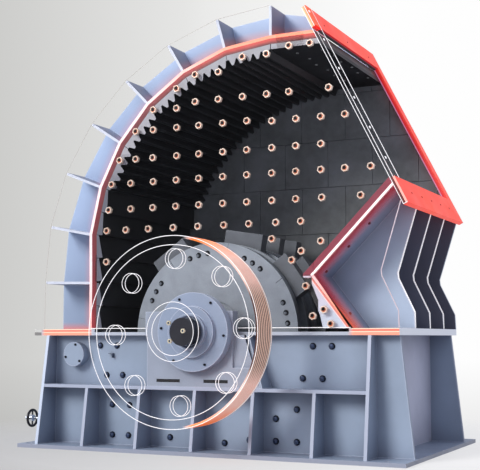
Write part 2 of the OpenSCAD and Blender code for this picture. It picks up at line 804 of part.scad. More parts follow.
// The feed floor's liner is a plate; below the nose a wedge fills up to the rotor's side
module nose_liners() {
    color(liner_grey) across(-inner_half, liner_y1) {
        polygon([
            nose_at(shell_t),
            floor_at(shell_t),
            floor_at(shell_t + nose_liner_t),
            nose_at(shell_t + nose_liner_t),
        ]);
        polygon([
            lower_at(shell_t),
            nose_at(shell_t) + [0, -liner_gap],
            nose_at(shell_t + nose_liner_t) + [0, -liner_gap],
            [wedge_foot_x - nose_liner_t / 2, (nose_at(0)[1] + 3 * housing_deck_z) / 4],
            [wedge_foot_x, housing_deck_z],
        ]);
    }
}
module near_gusset() {
    color([0.85, 0.9, 0.95, 0.3]) across(-half_w, -inner_half) polygon(nose_outline);
}
rib_count = 3;
rib_pitch = 2 * half_w / (rib_count + 1);
module feed_end_ribs() {
    color(blue) for (i = [1:rib_count])
        across(-half_w + i * rib_pitch - fin_t / 2, -half_w + i * rib_pitch + fin_t / 2)
            polygon(nose_outline);
}

// ---- rotor ----
disc_pitch = (rotor_len - disc_t) / (disc_count - 1);
core_d = 1.5 * shaft_mid_d;
pin_count = 8;
module at_pin(i) {
    rotate([0, -hammer_angle - i * 360 / pin_count, 0]) translate([pin_circle_d / 2, 0, 0]) children();
}
module pin_bars(y) {
    translate([0, 0, axis_h]) for (i = [0:pin_count - 1]) at_pin(i) bar_y(pin_d, -y, y);
}
module main_shaft() {
    color([0.2, 0.22, 0.3]) {
        axis_bar(shaft_d, -pulley_y - shaft_grip, far_shaft_end_y);
        axis_bar(shaft_mid_d, -rotor_half, rotor_half);
    }
}
module rotor_discs() {
    color([0.46, 0.49, 0.53]) difference() {
        union() {
            for (i = [0:disc_count - 1])
                axis_bar(disc_d, -rotor_half + i * disc_pitch, -rotor_half + i * disc_pitch + disc_t);
            axis_bar(core_d, -rotor_half, rotor_half);
        }
        axis_bar(shaft_mid_d, -rotor_half - 1, rotor_half + 1);
        pin_bars(rotor_half + 1);
    }
}
module hammer_pins() { color("silver") pin_bars(rotor_half); }
module guard_ring(y0, y1) {
    difference() {
        axis_bar(disc_d, y0, y1);
        axis_bar(guard_in_d, y0 - 1, y1 + 1);
        for (i = [0:pin_count - 1])
            translate([0, 0, axis_h]) rotate([0, -hammer_angle - i * 360 / pin_count, 0])
                box(disc_d / 2 - slit_len, disc_d, y0 - 1, y1 + 1, -liner_gap / 2, liner_gap / 2);
    }
}
module guard_plates() {
    color([0.5, 0.53, 0.57]) {
        guard_ring(-rotor_half - guard_t, -rotor_half);
        guard_ring(rotor_half, rotor_half + guard_t);
    }
}
// One hammer, its pin at the origin, its head outwards along X
head_x = sqrt(pow(hammer_tip_d / 2, 2) - pow(hammer_w / 2, 2)) - pin_circle_d / 2;
module hammer() {
    difference() {
        translate([0, hammer_t / 2, 0]) rotate([90, 0, 0]) linear_extrude(height = hammer_t) polygon([
            [-pin_d, -pin_d * 0.6],
            [-pin_d * 0.6, -pin_d],
            [head_x - head_t - 40, -pin_d],
            [head_x - head_t, -hammer_w / 2],
            [head_x, -hammer_w / 2],
            [head_x, hammer_w / 2],
            [head_x - head_t, hammer_w / 2],
            [head_x - head_t - 40, pin_d],
            [-pin_d * 0.6, pin_d],
            [-pin_d, pin_d * 0.6],
        ]);
        bar_y(pin_d, -hammer_t, hammer_t);
    }
}
module hammers() {
    color([0.3, 0.32, 0.35]) translate([0, 0, axis_h])
        for (row = [0:disc_count - 2], i = [0:pin_count / 2 - 1])
            at_pin(2 * i + row % 2)
                translate([0, -rotor_half + disc_t / 2 + (row + 0.5) * disc_pitch, 0]) hammer();
}

// ---- drive pulley ----
groove_pitch = rim_w / groove_count;
pulley_r = pulley_d / 2;
module drive_pulley() {
    color([1, 0.6, 0.35]) translate([0, -pulley_y, axis_h]) rotate([90, 0, 0]) difference() {
        union() {
            rotate_extrude() polygon(concat(
                [[rim_in_d / 2, 0], [pulley_r, 0]],
                [for (i = [0:groove_count - 1]) each [
                    [pulley_r, (i + 0.15) * groove_pitch],
                    [pulley_r - groove_deep, (i + 0.35) * groove_pitch],
                    [pulley_r - groove_deep, (i + 0.65) * groove_pitch],
                    [pulley_r, (i + 0.85) * groove_pitch],
                ]],
                [[pulley_r, rim_w], [rim_in_d / 2, rim_w]]
            ));
            translate([0, 0, (rim_w - web_t) / 2]) difference() {
                cylinder(d = rim_in_d + 2, h = web_t);
                for (a = [0:45:315])
                    rotate(a + web_turn) translate([web_circle_d / 2, 0, -1]) cylinder(d = web_hole_d, h = web_t + 2);
            }
            cylinder(d = hub_d, h = rim_w - hub_in);
        }
        translate([0, 0, -1]) cylinder(d = shaft_d, h = rim_w);
        translate([0, 0, rim_w - hub_recess_deep]) cylinder(d = hub_recess_d, h = hub_recess_deep);
    }
}

foot_flange();
near_base_wall();
far_base_wall();
left_end_wall();
right_end_wall();
base_split_flange();
near_ledge();
far_ledge();
near_base_ribs();
far_base_ribs();
near_pedestal();
far_pedestal();
near_bearing_housing();
far_bearing_housing();
access_cover();
spindle_bracket();
handwheel();
near_base_liners();
far_base_liners();
housing_split_flange();
near_side_wall();
far_side_wall();
shell_plate();
shell_backing();
serrated_liners();
wedge_liners();
roof_liner();
far_wall_liners();
shell_fins();
near_stiffening_ring();
far_stiffening_ring();
feed_flange();
near_feed_member();
feed_floor();
lower_plate();
nose_liners();
near_gusset();
feed_end_ribs();
main_shaft();
rotor_discs();
guard_plates();
hammers();
hammer_pins();
drive_pulley();
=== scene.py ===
import math

import bmesh
import bpy
from mathutils import Matrix, Vector


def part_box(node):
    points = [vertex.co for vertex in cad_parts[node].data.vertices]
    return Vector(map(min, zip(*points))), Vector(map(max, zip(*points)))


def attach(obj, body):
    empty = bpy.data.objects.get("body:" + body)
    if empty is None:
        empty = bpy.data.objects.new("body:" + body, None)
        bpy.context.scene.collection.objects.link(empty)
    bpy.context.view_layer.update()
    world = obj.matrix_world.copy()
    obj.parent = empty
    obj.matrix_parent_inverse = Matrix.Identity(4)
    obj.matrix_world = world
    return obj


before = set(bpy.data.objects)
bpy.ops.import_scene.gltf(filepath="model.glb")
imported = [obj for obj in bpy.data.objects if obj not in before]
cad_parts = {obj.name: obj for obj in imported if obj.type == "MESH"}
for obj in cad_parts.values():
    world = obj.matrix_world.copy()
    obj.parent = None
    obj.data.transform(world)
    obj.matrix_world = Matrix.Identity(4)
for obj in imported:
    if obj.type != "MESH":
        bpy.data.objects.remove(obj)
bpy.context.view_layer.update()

# ---- studio ----
# A pale floor and a plain pale room, darker towards the drive side. One broad soft lamp stands
# high on the left in front, and the room itself fills in from every side.
scene = bpy.context.scene
scene.view_settings.view_transform = "Standard"


def chart(red, green, blue):
    """A paint chart colour, 0 to 255, as the linear value that a shader wants"""
    def linear(v):
        v /= 255
        return v / 12.92 if v <= 0.04045 else ((v + 0.055) / 1.055) ** 2.4
    return linear(red), linear(green), linear(blue), 1.0


def add(tree, kind, inputs=None, **settings):
    """One shader node: its settings first, then its inputs, by value or by link"""
    made = tree.nodes.new("ShaderNode" + kind)
    for name, value in settings.items():
        setattr(made, name, value)
    for name, value in (inputs or {}).items():
        if isinstance(value, bpy.types.NodeSocket):
            tree.links.new(value, made.inputs[name])
        else:
            made.inputs[name].default_value = value
    return made


def blend(amount, first, second, how="MIX"):
    return add(amount.id_data, "Mix", {0: amount, 6: first, 7: second},
               data_type="RGBA", blend_type=how).outputs[2]


def ramp(value, low, high, to_low=0.0, to_high=1.0):
    return add(value.id_data, "MapRange", {"Value": value, 1: low, 2: high, 3: to_low, 4: to_high}).outputs[0]


def maths(how, first, second=0.0):
    return add(first.id_data, "Math", {0: first, 1: second}, operation=how).outputs[0]


def along(vector, way):
    """How far a vector reaches along a direction"""
    return add(vector.id_data, "VectorMath", {0: vector, 1: way}, operation="DOT_PRODUCT").outputs["Value"]


def length(vector):
    return add(vector.id_data, "VectorMath", {0: vector}, operation="LENGTH").outputs["Value"]


def where(tree):
    """The place on the piece"""
    return add(tree, "TexCoord").outputs["Object"]


def clouds(place, scale, detail, roughness=0.5, distortion=0.0):
    """Soft uneven patches, 0 to 1"""
    return add(place.id_data, "TexNoise", {"Vector": place, "Scale": scale, "Detail": detail,
                                           "Roughness": roughness, "Distortion": distortion}).outputs[0]


EYE = Vector((3.68476, -7.73549, 0.84212))
EYE_TURN = math.radians(25.798)
EYE_TILT = math.radians(5.441)
camera = bpy.data.objects.new("camera", bpy.data.cameras.new("camera"))
scene.collection.objects.link(camera)
camera.location = EYE
camera.rotation_euler = (math.pi / 2 + EYE_TILT, 0, EYE_TURN)
camera.data.lens = 80.447
camera.data.sensor_width = 36
camera.data.clip_end = 200
scene.camera = camera

ROOM_LEFT = chart(201, 201, 199)
ROOM_MID = chart(232, 232, 231)
ROOM_RIGHT = chart(254, 254, 254)
room = bpy.data.worlds.new("room")
scene.world = room
room.use_nodes = True
tree = room.node_tree
tree.nodes.clear()
heading = add(tree, "TexCoord").outputs["Generated"]
ROOM_ACROSS = (math.cos(EYE_TURN), math.sin(EYE_TURN), 0)
across = along(heading, ROOM_ACROSS)
tone = blend(ramp(across, -0.24, -0.03), ROOM_LEFT, ROOM_MID)
tone = blend(ramp(across, -0.05, 0.13), tone, ROOM_RIGHT)
up = add(tree, "SeparateXYZ", {0: heading}).outputs[2]
tone = blend(ramp(up, -0.02, -0.13), tone, chart(222, 222, 222), "MULTIPLY")
ray = add(tree, "LightPath")
seen = maths("MAXIMUM", ray.outputs["Is Camera Ray"], ray.outputs["Is Transmission Ray"])
backdrop = add(tree, "Background", {"Color": tone, "Strength": 1.0})
FILL = 0.70                       # strength of the light that comes from the room itself
fill = add(tree, "Background", {"Color": chart(230, 232, 245), "Strength": FILL})
mixed = add(tree, "MixShader", {0: seen, 1: fill.outputs[0], 2: backdrop.outputs[0]})
tree.links.new(mixed.outputs[0], add(tree, "OutputWorld").inputs["Surface"])

key = bpy.data.objects.new("key_lamp", bpy.data.lights.new("key_lamp", "SUN"))
scene.collection.objects.link(key)
KEY_WAY = Vector((0.42, 0.78, -0.5))
key.data.energy = 2.15
key.data.angle = math.radians(24)
key.data.color = (1.0, 0.985, 0.96)
key.rotation_euler = KEY_WAY.to_track_quat("-Z", "Y").to_euler()

FLOOR_REACH = 6.0
FLOOR_DROP = 0.001                # just under the foot, so that the two don't share a plane
net = bmesh.new()
bmesh.ops.create_circle(net, cap_ends=True, segments=96, radius=FLOOR_REACH)
bmesh.ops.translate(net, verts=net.verts, vec=(0, 0, -FLOOR_DROP))
floor = bpy.data.objects.new("floor", bpy.data.meshes.new("floor"))
net.to_mesh(floor.data)
net.free()
scene.collection.objects.link(floor)
floor_mat = bpy.data.materials.new("floor")
floor_mat.use_nodes = True
tree = floor_mat.node_tree
tree.nodes.clear()
place = where(tree)
grain = clouds(place, 1.3, 3.0)
sideways = along(place, ROOM_ACROSS)
tone = blend(ramp(sideways, -1.9, 1.6), chart(178, 178, 177), chart(255, 255, 255))
matt = add(tree, "BsdfDiffuse", {"Color": blend(grain, (0.34, 0.34, 0.34, 1), (0.36, 0.36, 0.36, 1))})
lit = add(tree, "Emission", {"Color": tone, "Strength": 0.62})
nothing = add(tree, "Emission", {"Strength": 0.0})
ray = add(tree, "LightPath")
seen = maths("MAXIMUM", ray.outputs["Is Camera Ray"], ray.outputs["Is Glossy Ray"])
seen = maths("MAXIMUM", seen, ray.outputs["Is Transmission Ray"])
glow = add(tree, "MixShader", {0: seen, 1: nothing.outputs[0], 2: lit.outputs[0]})
both = add(tree, "AddShader", {0: matt.outputs[0], 1: glow.outputs[0]})
clear = add(tree, "BsdfTransparent")
FADE_FROM, FADE_TO = 1.9, 3.6     # the floor fades into the room between these distances
edge = add(tree, "MixShader", {0: ramp(length(place), FADE_FROM, FADE_TO), 1: both.outputs[0],
                               2: clear.outputs[0]})
tree.links.new(edge.outputs[0], add(tree, "OutputMaterial").inputs["Surface"])
floor.data.materials.append(floor_mat)

# ---- base ----
# A welded steel box: 24 mm walls, ledges and ribs on a 28 mm foot flange, with the split flange on
# top. It is sprayed blue-grey after welding. Its pale edges are part wear and part painted
# highlight, and painted shade darkens its corners.
SHELL_MID = (0.545, 0, 1.479)     # middle of the shell's arc
SHELL_R = 1.562                   # its outer radius
CUT_Y = -0.7295                   # the section face is the drive-side end of the shell
# The section's painted glow on the pieces beside it: how it slants, where it ends, its colours
GLOW_DRIFT, GLOW_SINK = 0.49, 0.20  # how the warm cast slants, for each metre back
GLOW_OUT, GLOW_IN = 0.085, -0.02  # where it ends and where it is full, from the shell's outside
GLOW_HOT = chart(255, 140, 96)
GLOW_PINK = chart(226, 164, 184)
GLOW_LOW = chart(250, 126, 102)


def times(first, second):
    return maths("MULTIPLY", first, second)


def minus(first, second):
    return maths("SUBTRACT", first, second)


def split(vector):
    """Its X, Y and Z"""
    return tuple(add(vector.id_data, "SeparateXYZ", {0: vector}).outputs)


def shaded(colour, amount):
    """A colour made darker or paler"""
    return tuple(min(1, amount * v) for v in colour[:3]) + (1,)


def plain(name, roughness, metallic=0.0):
    """A new material: itself, its tree, its shader and the place on the piece"""
    made = bpy.data.materials.new(name)
    made.use_nodes = True
    shader = made.node_tree.nodes["Principled BSDF"]
    shader.inputs["Metallic"].default_value = metallic
    shader.inputs["Roughness"].default_value = roughness
    return made, made.node_tree, shader, where(made.node_tree)


def paint(shader, tone, lit=None, strength=0.0):
    """Colours the piece. Section faces also shine a little, so that they stay bright in shade."""
    tree = shader.id_data
    tree.links.new(tone, shader.inputs["Base Color"])
    if lit:
        tree.links.new(lit, shader.inputs["Emission Color"])
        shader.inputs["Emission Strength"].default_value = strength


def edge_wear_and_highlight(tree, radius, sharp=0.80):
    """1 along the edges of a piece, 0 on its flat faces. The pale edges it gives are part wear and part
    painted highlight.
    """
    round_over = add(tree, "Bevel", {"Radius": radius}, samples=4).outputs[0]
    flat = add(tree, "NewGeometry").outputs["Normal"]
    same = along(round_over, flat)
    return ramp(same, 0.985, sharp)


def corner_shade(tree, reach):
    """Painted shade: 1 in corners and under ledges, 0 in the open"""
    near = add(tree, "AmbientOcclusion", {"Distance": reach}, samples=6).outputs["AO"]
    return ramp(near, 0.85, 0.15)


def skin(shader, place, roughness, grain, depth):
    """Uneven gloss and a fine raised grain"""
    tree = shader.id_data
    fine = clouds(place, grain, 5.0, 0.6)
    gloss = clouds(place, grain / 30, 4.0)
    uneven = ramp(gloss, 0.3, 0.7, roughness - 0.07, roughness + 0.07)
    tree.links.new(uneven, shader.inputs["Roughness"])
    bump = add(tree, "Bump", {"Height": fine, "Strength": 0.35, "Distance": depth})
    tree.links.new(bump.outputs[0], shader.inputs["Normal"])


def facing(tree, axis, low, high):
    """1 on the faces that look along an axis, either way"""
    flat = add(tree, "NewGeometry").outputs["Normal"]
    return ramp(maths("ABSOLUTE", along(flat, axis)), low, high)


def machine_paint(name, body, edge, shade_tone, roughness=0.42, edge_r=0.012, near_shell=False, ends=None,
                  below=None, bays=None, reach=0.3):
    """Sprayed machine paint: broad unevenness, painted shade in the corners, pale edges that are part
    wear and part painted highlight. The plates' cut ends look along one axis: ends gives it, how
    squarely they face it, and their pale colour, a painted highlight. Above the height of below only
    the feed end's plate has pale ends. Past bays, along Y, the flat faces are painted in deep shade.
    near_shell adds the section's painted glow beside it."""
    made, tree, shader, place = plain(name, roughness)
    x, y, z = split(place)
    broad = clouds(place, 1.7, 5.0, 0.55)
    tone = blend(ramp(broad, 0.32, 0.68), shaded(body, 0.88), shaded(body, 1.10))
    tone = blend(times(corner_shade(tree, reach), 0.6), tone, shade_tone)
    if near_shell:
        tone = blend(ramp(z, 2.0, 1.0, 0.0, 0.55), tone, chart(136, 150, 170))
        # Painted light: the section's red and orange glow is painted on what stands next to it. The
        # glow is a slanted band: it drifts to the left and sinks as it runs back from the section
        back = minus(y, CUT_Y)
        level = maths("ADD", minus(x, SHELL_MID[0]), times(back, GLOW_DRIFT))
        rise = minus(minus(z, SHELL_MID[2]), times(back, GLOW_SINK))
        rise = maths("MAXIMUM", rise, 0.0)
        squares = maths("ADD", times(level, level), times(rise, rise))
        radius = maths("SQRT", squares)
        glow_tone = blend(ramp(x, -0.75, 0.1), GLOW_PINK, GLOW_HOT)
        glow_tone = blend(ramp(z, 1.65, 1.15), glow_tone, GLOW_LOW)
        glow_amount = maths("POWER", ramp(radius, SHELL_R + GLOW_OUT, SHELL_R + GLOW_IN), 1.3)
        glow_amount = maths("MAXIMUM", glow_amount, maths("POWER", ramp(z, 0.965, 0.904), 1.3))
        fore = ramp(y, 0.1, -0.45)
        tone = blend(times(glow_amount, times(fore, 0.8)), tone, glow_tone)
    tone = blend(times(edge_wear_and_highlight(tree, edge_r), 0.8), tone, edge)
    if bays:
        shade = times(facing(tree, FORE, 0.8, 0.95), ramp(y, bays, bays + 0.01))
        shade = times(shade, ramp(y, 0.745, 0.74))
        tone = blend(shade, tone, chart(102, 106, 122))
    if ends:
        axis, low, high, end_tone = ends
        cut = facing(tree, axis, low, high)
        if below:
            cut = times(cut, maths("MAXIMUM", ramp(z, below + 0.002, below), ramp(x, 1.2, 1.21)))
        tone = blend(times(cut, 0.9), tone, end_tone)
    paint(shader, tone)
    skin(shader, place, roughness, 160.0, 0.0006)
    return made


def dress(material, *nodes):
    for name in nodes:
        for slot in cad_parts[name].material_slots:
            slot.material = material


FORE, UPRIGHT = (0, 1, 0), (0, 0, 1)
BLUE = chart(152, 167, 188)
BLUE_EDGE = chart(205, 213, 230)
BLUE_SHADE = chart(80, 82, 104)
LEDGE_Z = 0.485
blue = machine_paint("blue_paint", BLUE, BLUE_EDGE, BLUE_SHADE, reach=0.18)
dress(blue, "near_base_wall", "far_base_wall")
dress(machine_paint("block_paint", chart(170, 180, 197), BLUE_EDGE, BLUE_SHADE),
      "near_pedestal", "far_pedestal")
# The right end wall takes a paler copy of the blue: painted light on a wall that stands in shade
dress(machine_paint("wing_lit_paint", chart(204, 208, 228), BLUE_EDGE, chart(96, 98, 120)), "right_end_wall")
# The cut ends of the ribs, ledges, left end wall and foot are painted pale: a painted highlight
for name, end_tone, height, nodes in (
        ("rib_edge_paint", chart(178, 186, 206), LEDGE_Z,
         ("near_base_ribs", "far_base_ribs", "near_ledge", "far_ledge")),
        ("end_wall_paint", chart(210, 222, 242), None, ("left_end_wall",))):
    dress(machine_paint(name, BLUE, BLUE_EDGE, BLUE_SHADE, ends=(FORE, 0.8, 0.95, end_tone), below=height),
          *nodes)
dress(machine_paint("foot_paint", BLUE, BLUE_EDGE, BLUE_SHADE, ends=(UPRIGHT, 0.5, 0.2, chart(158, 164, 182))),
      "foot_flange")

# ---- split flanges ----
# Two 24 mm plates, one closing the base and one under the housing, bolted face to face. The drive
# side edge carries the section's orange paint at both ends, beside the shell and the feed floor.
STRIPES_Z = (0.9005, 0.8805)      # middles of the two cream stripes on the orange edge


def flange_paint(name, orange_amount):
    made, tree, shader, place = plain(name, 0.42)
    x, y, z = split(place)
    broad = clouds(place, 1.9, 5.0)
    tone = blend(broad, chart(140, 152, 174), chart(168, 178, 200))
    # Painted shade in the corners, pale edges that are part wear and part painted highlight, and pale edge
    # faces on the plates, a painted highlight
    tone = blend(times(corner_shade(tree, 0.2), 0.7), tone, BLUE_SHADE)
    tone = blend(times(edge_wear_and_highlight(tree, 0.012), 0.75), tone, chart(212, 216, 226))
    upright_edge = times(facing(tree, UPRIGHT, 0.5, 0.2), 0.75)
    tone = blend(upright_edge, tone, chart(196, 202, 214))
    left = times(ramp(x, -1.44, -1.40), ramp(x, -0.955, -0.985))
    right = times(ramp(x, 1.13, 1.17), ramp(x, 1.502, 1.497))
    near_edge = ramp(y, -0.735, -0.748, 0, orange_amount)
    ends = times(maths("ADD", left, right), near_edge)
    section = blend(ramp(z, 0.877, 0.876), chart(240, 104, 82), chart(252, 160, 126))
    for middle in STRIPES_Z:
        stripe = ramp(maths("ABSOLUTE", minus(z, middle)), 0.0042, 0.0034)
        section = blend(stripe, section, chart(255, 222, 190))
    tone = blend(ends, tone, section)
    left_end = blend(ramp(z, 0.879, 0.881), chart(136, 134, 132), chart(212, 212, 206))
    tone = blend(ramp(x, -1.43, -1.44), tone, left_end)
    # The right end face is paler and glows a little: painted light on a face in shade
    right_end = times(facing(tree, (1, 0, 0), 0.8, 0.95), ramp(x, 1.49, 1.499))
    tone = blend(right_end, tone, chart(224, 230, 240))
    lit = blend(right_end, (0, 0, 0, 1), chart(240, 244, 252))
    paint(shader, tone, blend(ends, lit, section), 0.16)
    skin(shader, place, 0.42, 160.0, 0.0006)
    return made


dress(flange_paint("split_flange_paint", 0.95), "housing_split_flange")
dress(flange_paint("base_flange_paint", 0.9), "base_split_flange")


# ---- base liner bolts ----
# Domed hexagon heads hold the liners from outside, through the base walls. They are dark blued
# steel in a black washer.
def piece(name, net, material, body):
    """Closes a bmesh into an object that rides on a body"""
    bmesh.ops.recalc_face_normals(net, faces=net.faces)
    mesh = bpy.data.meshes.new(name)
    net.to_mesh(mesh)
    net.free()
    made = bpy.data.objects.new(name, mesh)
    scene.collection.objects.link(made)
    for one in (material if isinstance(material, tuple) else (material,)):
        mesh.materials.append(one)
    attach(made, body)
    return made


def turned(*parts):
    """A small lathe-turned or six-sided part, standing on its seat and looking up Z. Each part is
    its number of sides, its material's number and its outline as (radius, height) pairs."""
    net = bmesh.new()
    for sides, finish, outline in parts:
        before = len(net.faces)
        chain = [net.verts.new((radius, 0, height)) for radius, height in outline]
        line = [net.edges.new(pair) for pair in zip(chain, chain[1:])]
        bmesh.ops.spin(net, geom=chain + line, cent=(0, 0, 0), axis=(0, 0, 1),
                       angle=2 * math.pi, steps=sides, use_merge=True)
        net.faces.ensure_lookup_table()
        for face in net.faces[before:]:
            face.material_index = finish
    bmesh.ops.remove_doubles(net, verts=net.verts, dist=1e-6)
    bmesh.ops.recalc_face_normals(net, faces=net.faces)
    shape = bpy.data.meshes.new("pattern")
    net.to_mesh(shape)
    net.free()
    return shape


def set_out(name, shape, places, material, body):
    """One piece made of many like parts; a place is a point, the way it faces and its own turn"""
    net = bmesh.new()
    for at, looks, spin in places:
        net.verts.ensure_lookup_table()
        before = len(net.verts)
        net.from_mesh(shape)
        net.verts.ensure_lookup_table()
        turn = Vector(looks).to_track_quat("Z", "Y").to_matrix().to_4x4()
        bmesh.ops.transform(net, verts=net.verts[before:],
                            matrix=Matrix.Translation(at) @ turn @ Matrix.Rotation(spin, 4, "Z"))
    return piece(name, net, material, body)


def steel(name, body, edge, roughness=0.38, metallic=0.7, grain=220.0):
    """Machined or blued steel: faint mottling, brighter along its edges, part wear and part painted highlight
    """
    made, tree, shader, place = plain(name, roughness, metallic)
    mottle = clouds(place, 9.0, 6.0, 0.6)
    tone = blend(ramp(mottle, 0.3, 0.7), shaded(body, 0.8), shaded(body, 1.2))
    tone = blend(times(edge_wear_and_highlight(tree, 0.003), 0.6), tone, edge)
    paint(shader, tone)
    skin(shader, place, roughness, grain, 0.0003)
    return made


blued = steel("blued_steel", chart(58, 70, 96), chart(120, 132, 156))
black_steel = steel("black_steel", chart(16, 17, 22), chart(54, 58, 68))
MM = 0.001
WALL_Y = -0.675
WALL_BOLT_TURN = 0.4
DOME = turned((16, 1, ((0, 0), (0.024, 0), (0.024, 0.004), (0, 0.004))),
              (6, 0, ((0, 0.003), (0.020, 0.003), (0.020, 0.014), (0.016, 0.018), (0, 0.020))))
wall_bolts = ((-929, 778), (-779, 778), (-867, 553), (-724, 554), (843, 779), (986, 779), (765, 553),
              (914, 553), (-814, 329), (-660, 329), (-811, 101), (-668, 101), (-305, 101), (149, 78),
              (348, 107), (556, 265), (718, 334), (556, 107), (717, 107))
for side, name in ((1, "near_base_bolts"), (-1, "far_base_bolts")):
    spots = [((px * MM, side * WALL_Y, pz * MM), (0, -side, 0), WALL_BOLT_TURN) for px, pz in wall_bolts]
    set_out(name, DOME, spots, (blued, black_steel), "housing")

# ---- cable bracket and slot strips ----
# A small folded angle of 6 mm sheet, welded to the drive-side base wall, where a cable clip goes.
# A black strip of rubber lies in each of the two slots of the panels.
BRACKET_LEAVES = (((-0.842, -0.702, 0.714), (-0.806, -0.674, 0.720)),
                  ((-0.811, -0.702, 0.684), (-0.805, -0.674, 0.720)))
bracket_net = bmesh.new()
for low, high in BRACKET_LEAVES:
    size = Vector(high) - Vector(low)
    bmesh.ops.create_cube(bracket_net, size=1, matrix=Matrix.Translation((Vector(low) + Vector(high)) / 2)
                          @ Matrix.Diagonal((*size, 1)))
bmesh.ops.bevel(bracket_net, geom=bracket_net.edges[:], offset=0.0015, segments=2, profile=0.5,
                affect="EDGES", material=-1)
piece("cable_bracket", bracket_net, steel("bracket_steel", chart(96, 104, 120), chart(170, 178, 192)),
      "housing")


def flecked(name, roughness, dark, pale, speck_scale, grain, depth, detail=3.0):
    """Rubber or a painted line: one tone with small paler flecks"""
    made, _, shader, place = plain(name, roughness)
    paint(shader, blend(clouds(place, speck_scale, detail), dark, pale))
    skin(shader, place, roughness, grain, depth)
    return made


rubber_black = flecked("slot_rubber", 0.7, chart(14, 14, 18), chart(30, 31, 38), 90.0, 300.0, 0.0002)
SLOT_XS, SLOT_Y, SLOT_Z = (-0.235, 0.155), -0.831, 0.526
STRIP = (0.194, 0.014, 0.023)
strip_net = bmesh.new()
for side in (1, -1):
    for slot_x in SLOT_XS:
        bmesh.ops.create_cube(strip_net, size=1, matrix=Matrix.Translation((slot_x, side * SLOT_Y, SLOT_Z))
                              @ Matrix.Diagonal((*STRIP, 1)))
piece("slot_strips", strip_net, rubber_black, "housing")

# ---- access cover ----
# A round inspection cover on a short neck, bolted to the drive-side base wall with three screws.
# Turned steel under the same paint, with a rolled front edge.
dress(blue, "access_cover")
low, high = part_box("access_cover")
cover_at = Vector(((low.x + high.x) / 2, low.y, (low.z + high.z) / 2))
COVER_SCREWS_R = 0.076
SOCKET_SCREW = turned((14, 0, ((0, 0), (0.009, 0), (0.009, 0.006), (0.007, 0.008), (0.005, 0.008),
                               (0.005, 0.003), (0, 0.003))))
set_out("access_cover_screws", SOCKET_SCREW,
        [(cover_at + COVER_SCREWS_R * Vector((math.cos(a), 0, math.sin(a))), (0, -1, 0), a)
         for a in (math.radians(77 + 120 * i) for i in range(3))], black_steel, "housing")
rolled = turned((64, 0, ((0.089, 0.0), (0.0935, 0.0), (0.0935, 0.006), (0.091, 0.010), (0.089, 0.008))))
RIM_SET_BACK = Vector((0, 0.009, 0))
set_out("access_cover_rim", rolled, [(cover_at + RIM_SET_BACK, (0, -1, 0), 0)], blue,
        "housing")

# ---- handwheel and spindle ----
# A cast handwheel on a turned spindle works the adjusting screw behind the left end wall. The
# wheel is gloss black, the spindle and its bush are bright steel, held by a nut and a washer.
def offset(place, start):
    return add(place.id_data, "VectorMath", {0: place, 1: start}, operation="SUBTRACT").outputs[0]


def from_axis(vector, across):
    """Distance from an axis; across is 0 along the axis and 1 along the other two"""
    return length(add(vector.id_data, "VectorMath", {0: vector, 1: across}, operation="MULTIPLY").outputs[0])


bright = steel("bright_steel", chart(186, 188, 194), chart(240, 242, 246), 0.28, 0.85)
gloss, tree, shader, place = plain("black_paint", 0.25)
speck = clouds(place, 30.0, 4.0)
tone = blend(speck, chart(14, 14, 17), chart(34, 34, 40))
# Pale edges, part wear and part painted highlight
tone = blend(times(edge_wear_and_highlight(tree, 0.003), 0.6), tone, chart(150, 156, 166))
low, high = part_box("handwheel")
wheel_at = Vector((low.x, (low.y + high.y) / 2, (low.z + high.z) / 2))
HUB_R = 0.0255
hub = ramp(from_axis(offset(place, wheel_at), (0, 1, 1)), HUB_R + 0.0005, HUB_R)
tree.links.new(hub, shader.inputs["Metallic"])
tone = blend(hub, tone, chart(206, 214, 226))
paint(shader, tone)
skin(shader, place, 0.25, 90.0, 0.0004)
dress(bright, "spindle_bracket", "hammer_pins")
dress(gloss, "handwheel")
SPINDLE_NUT = turned((32, 0, ((0.0122, 0), (0.022, 0), (0.022, 0.003), (0.0122, 0.003), (0.0122, 0))),
                     (6, 0, ((0.0122, 0.003), (0.020, 0.003), (0.020, 0.014), (0.017, 0.017), (0.0122, 0.017),
                             (0.0122, 0.003))))
NUT_SEAT = Vector((0.047, 0, 0))
set_out("spindle_nut", SPINDLE_NUT, [(wheel_at + NUT_SEAT, (-1, 0, 0), 0.2)], bright,
        "handwheel")

# ---- bearing housings ----
# Stepped round housings of cast iron, turned on their faces and bolted to the bearing blocks. Six
# black cap screws hold each flange, and a rubber lip seals the shaft.
bearing = machine_paint("bearing_paint", chart(184, 202, 226), chart(220, 228, 244), chart(90, 98, 124), 0.36)
dress(bearing, "near_bearing_housing", "far_bearing_housing")
AXIS_Z = 0.88
FLANGE_Y = -0.906
FLANGE_SCREWS_R = 0.256
CAP_SCREW = turned((14, 0, ((0, 0), (0.009, 0), (0.009, 0.008), (0.007, 0.010), (0.005, 0.010),
                            (0.005, 0.004), (0, 0.004))))
for side, name in ((1, "near"), (-1, "far")):
    set_out(name + "_bearing_screws", CAP_SCREW,
            [((FLANGE_SCREWS_R * math.cos(a), side * FLANGE_Y, AXIS_Z + FLANGE_SCREWS_R * math.sin(a)),
              (0, -side, 0), a) for a in (math.radians(60 * i - 6) for i in range(6))],
            black_steel, "housing")
SEAL_Y = -0.966
SEAL = turned((64, 0, ((0.1035, 0), (0.116, 0), (0.116, 0.004), (0.110, 0.007), (0.1035, 0.004),
                       (0.1035, 0))))
rubber = flecked("seal_rubber", 0.6, chart(54, 62, 82), chart(80, 90, 114), 80.0, 300.0, 0.0003)
set_out("near_shaft_seal", SEAL, [((0, SEAL_Y, AXIS_Z), (0, -1, 0), 0)], rubber, "housing")

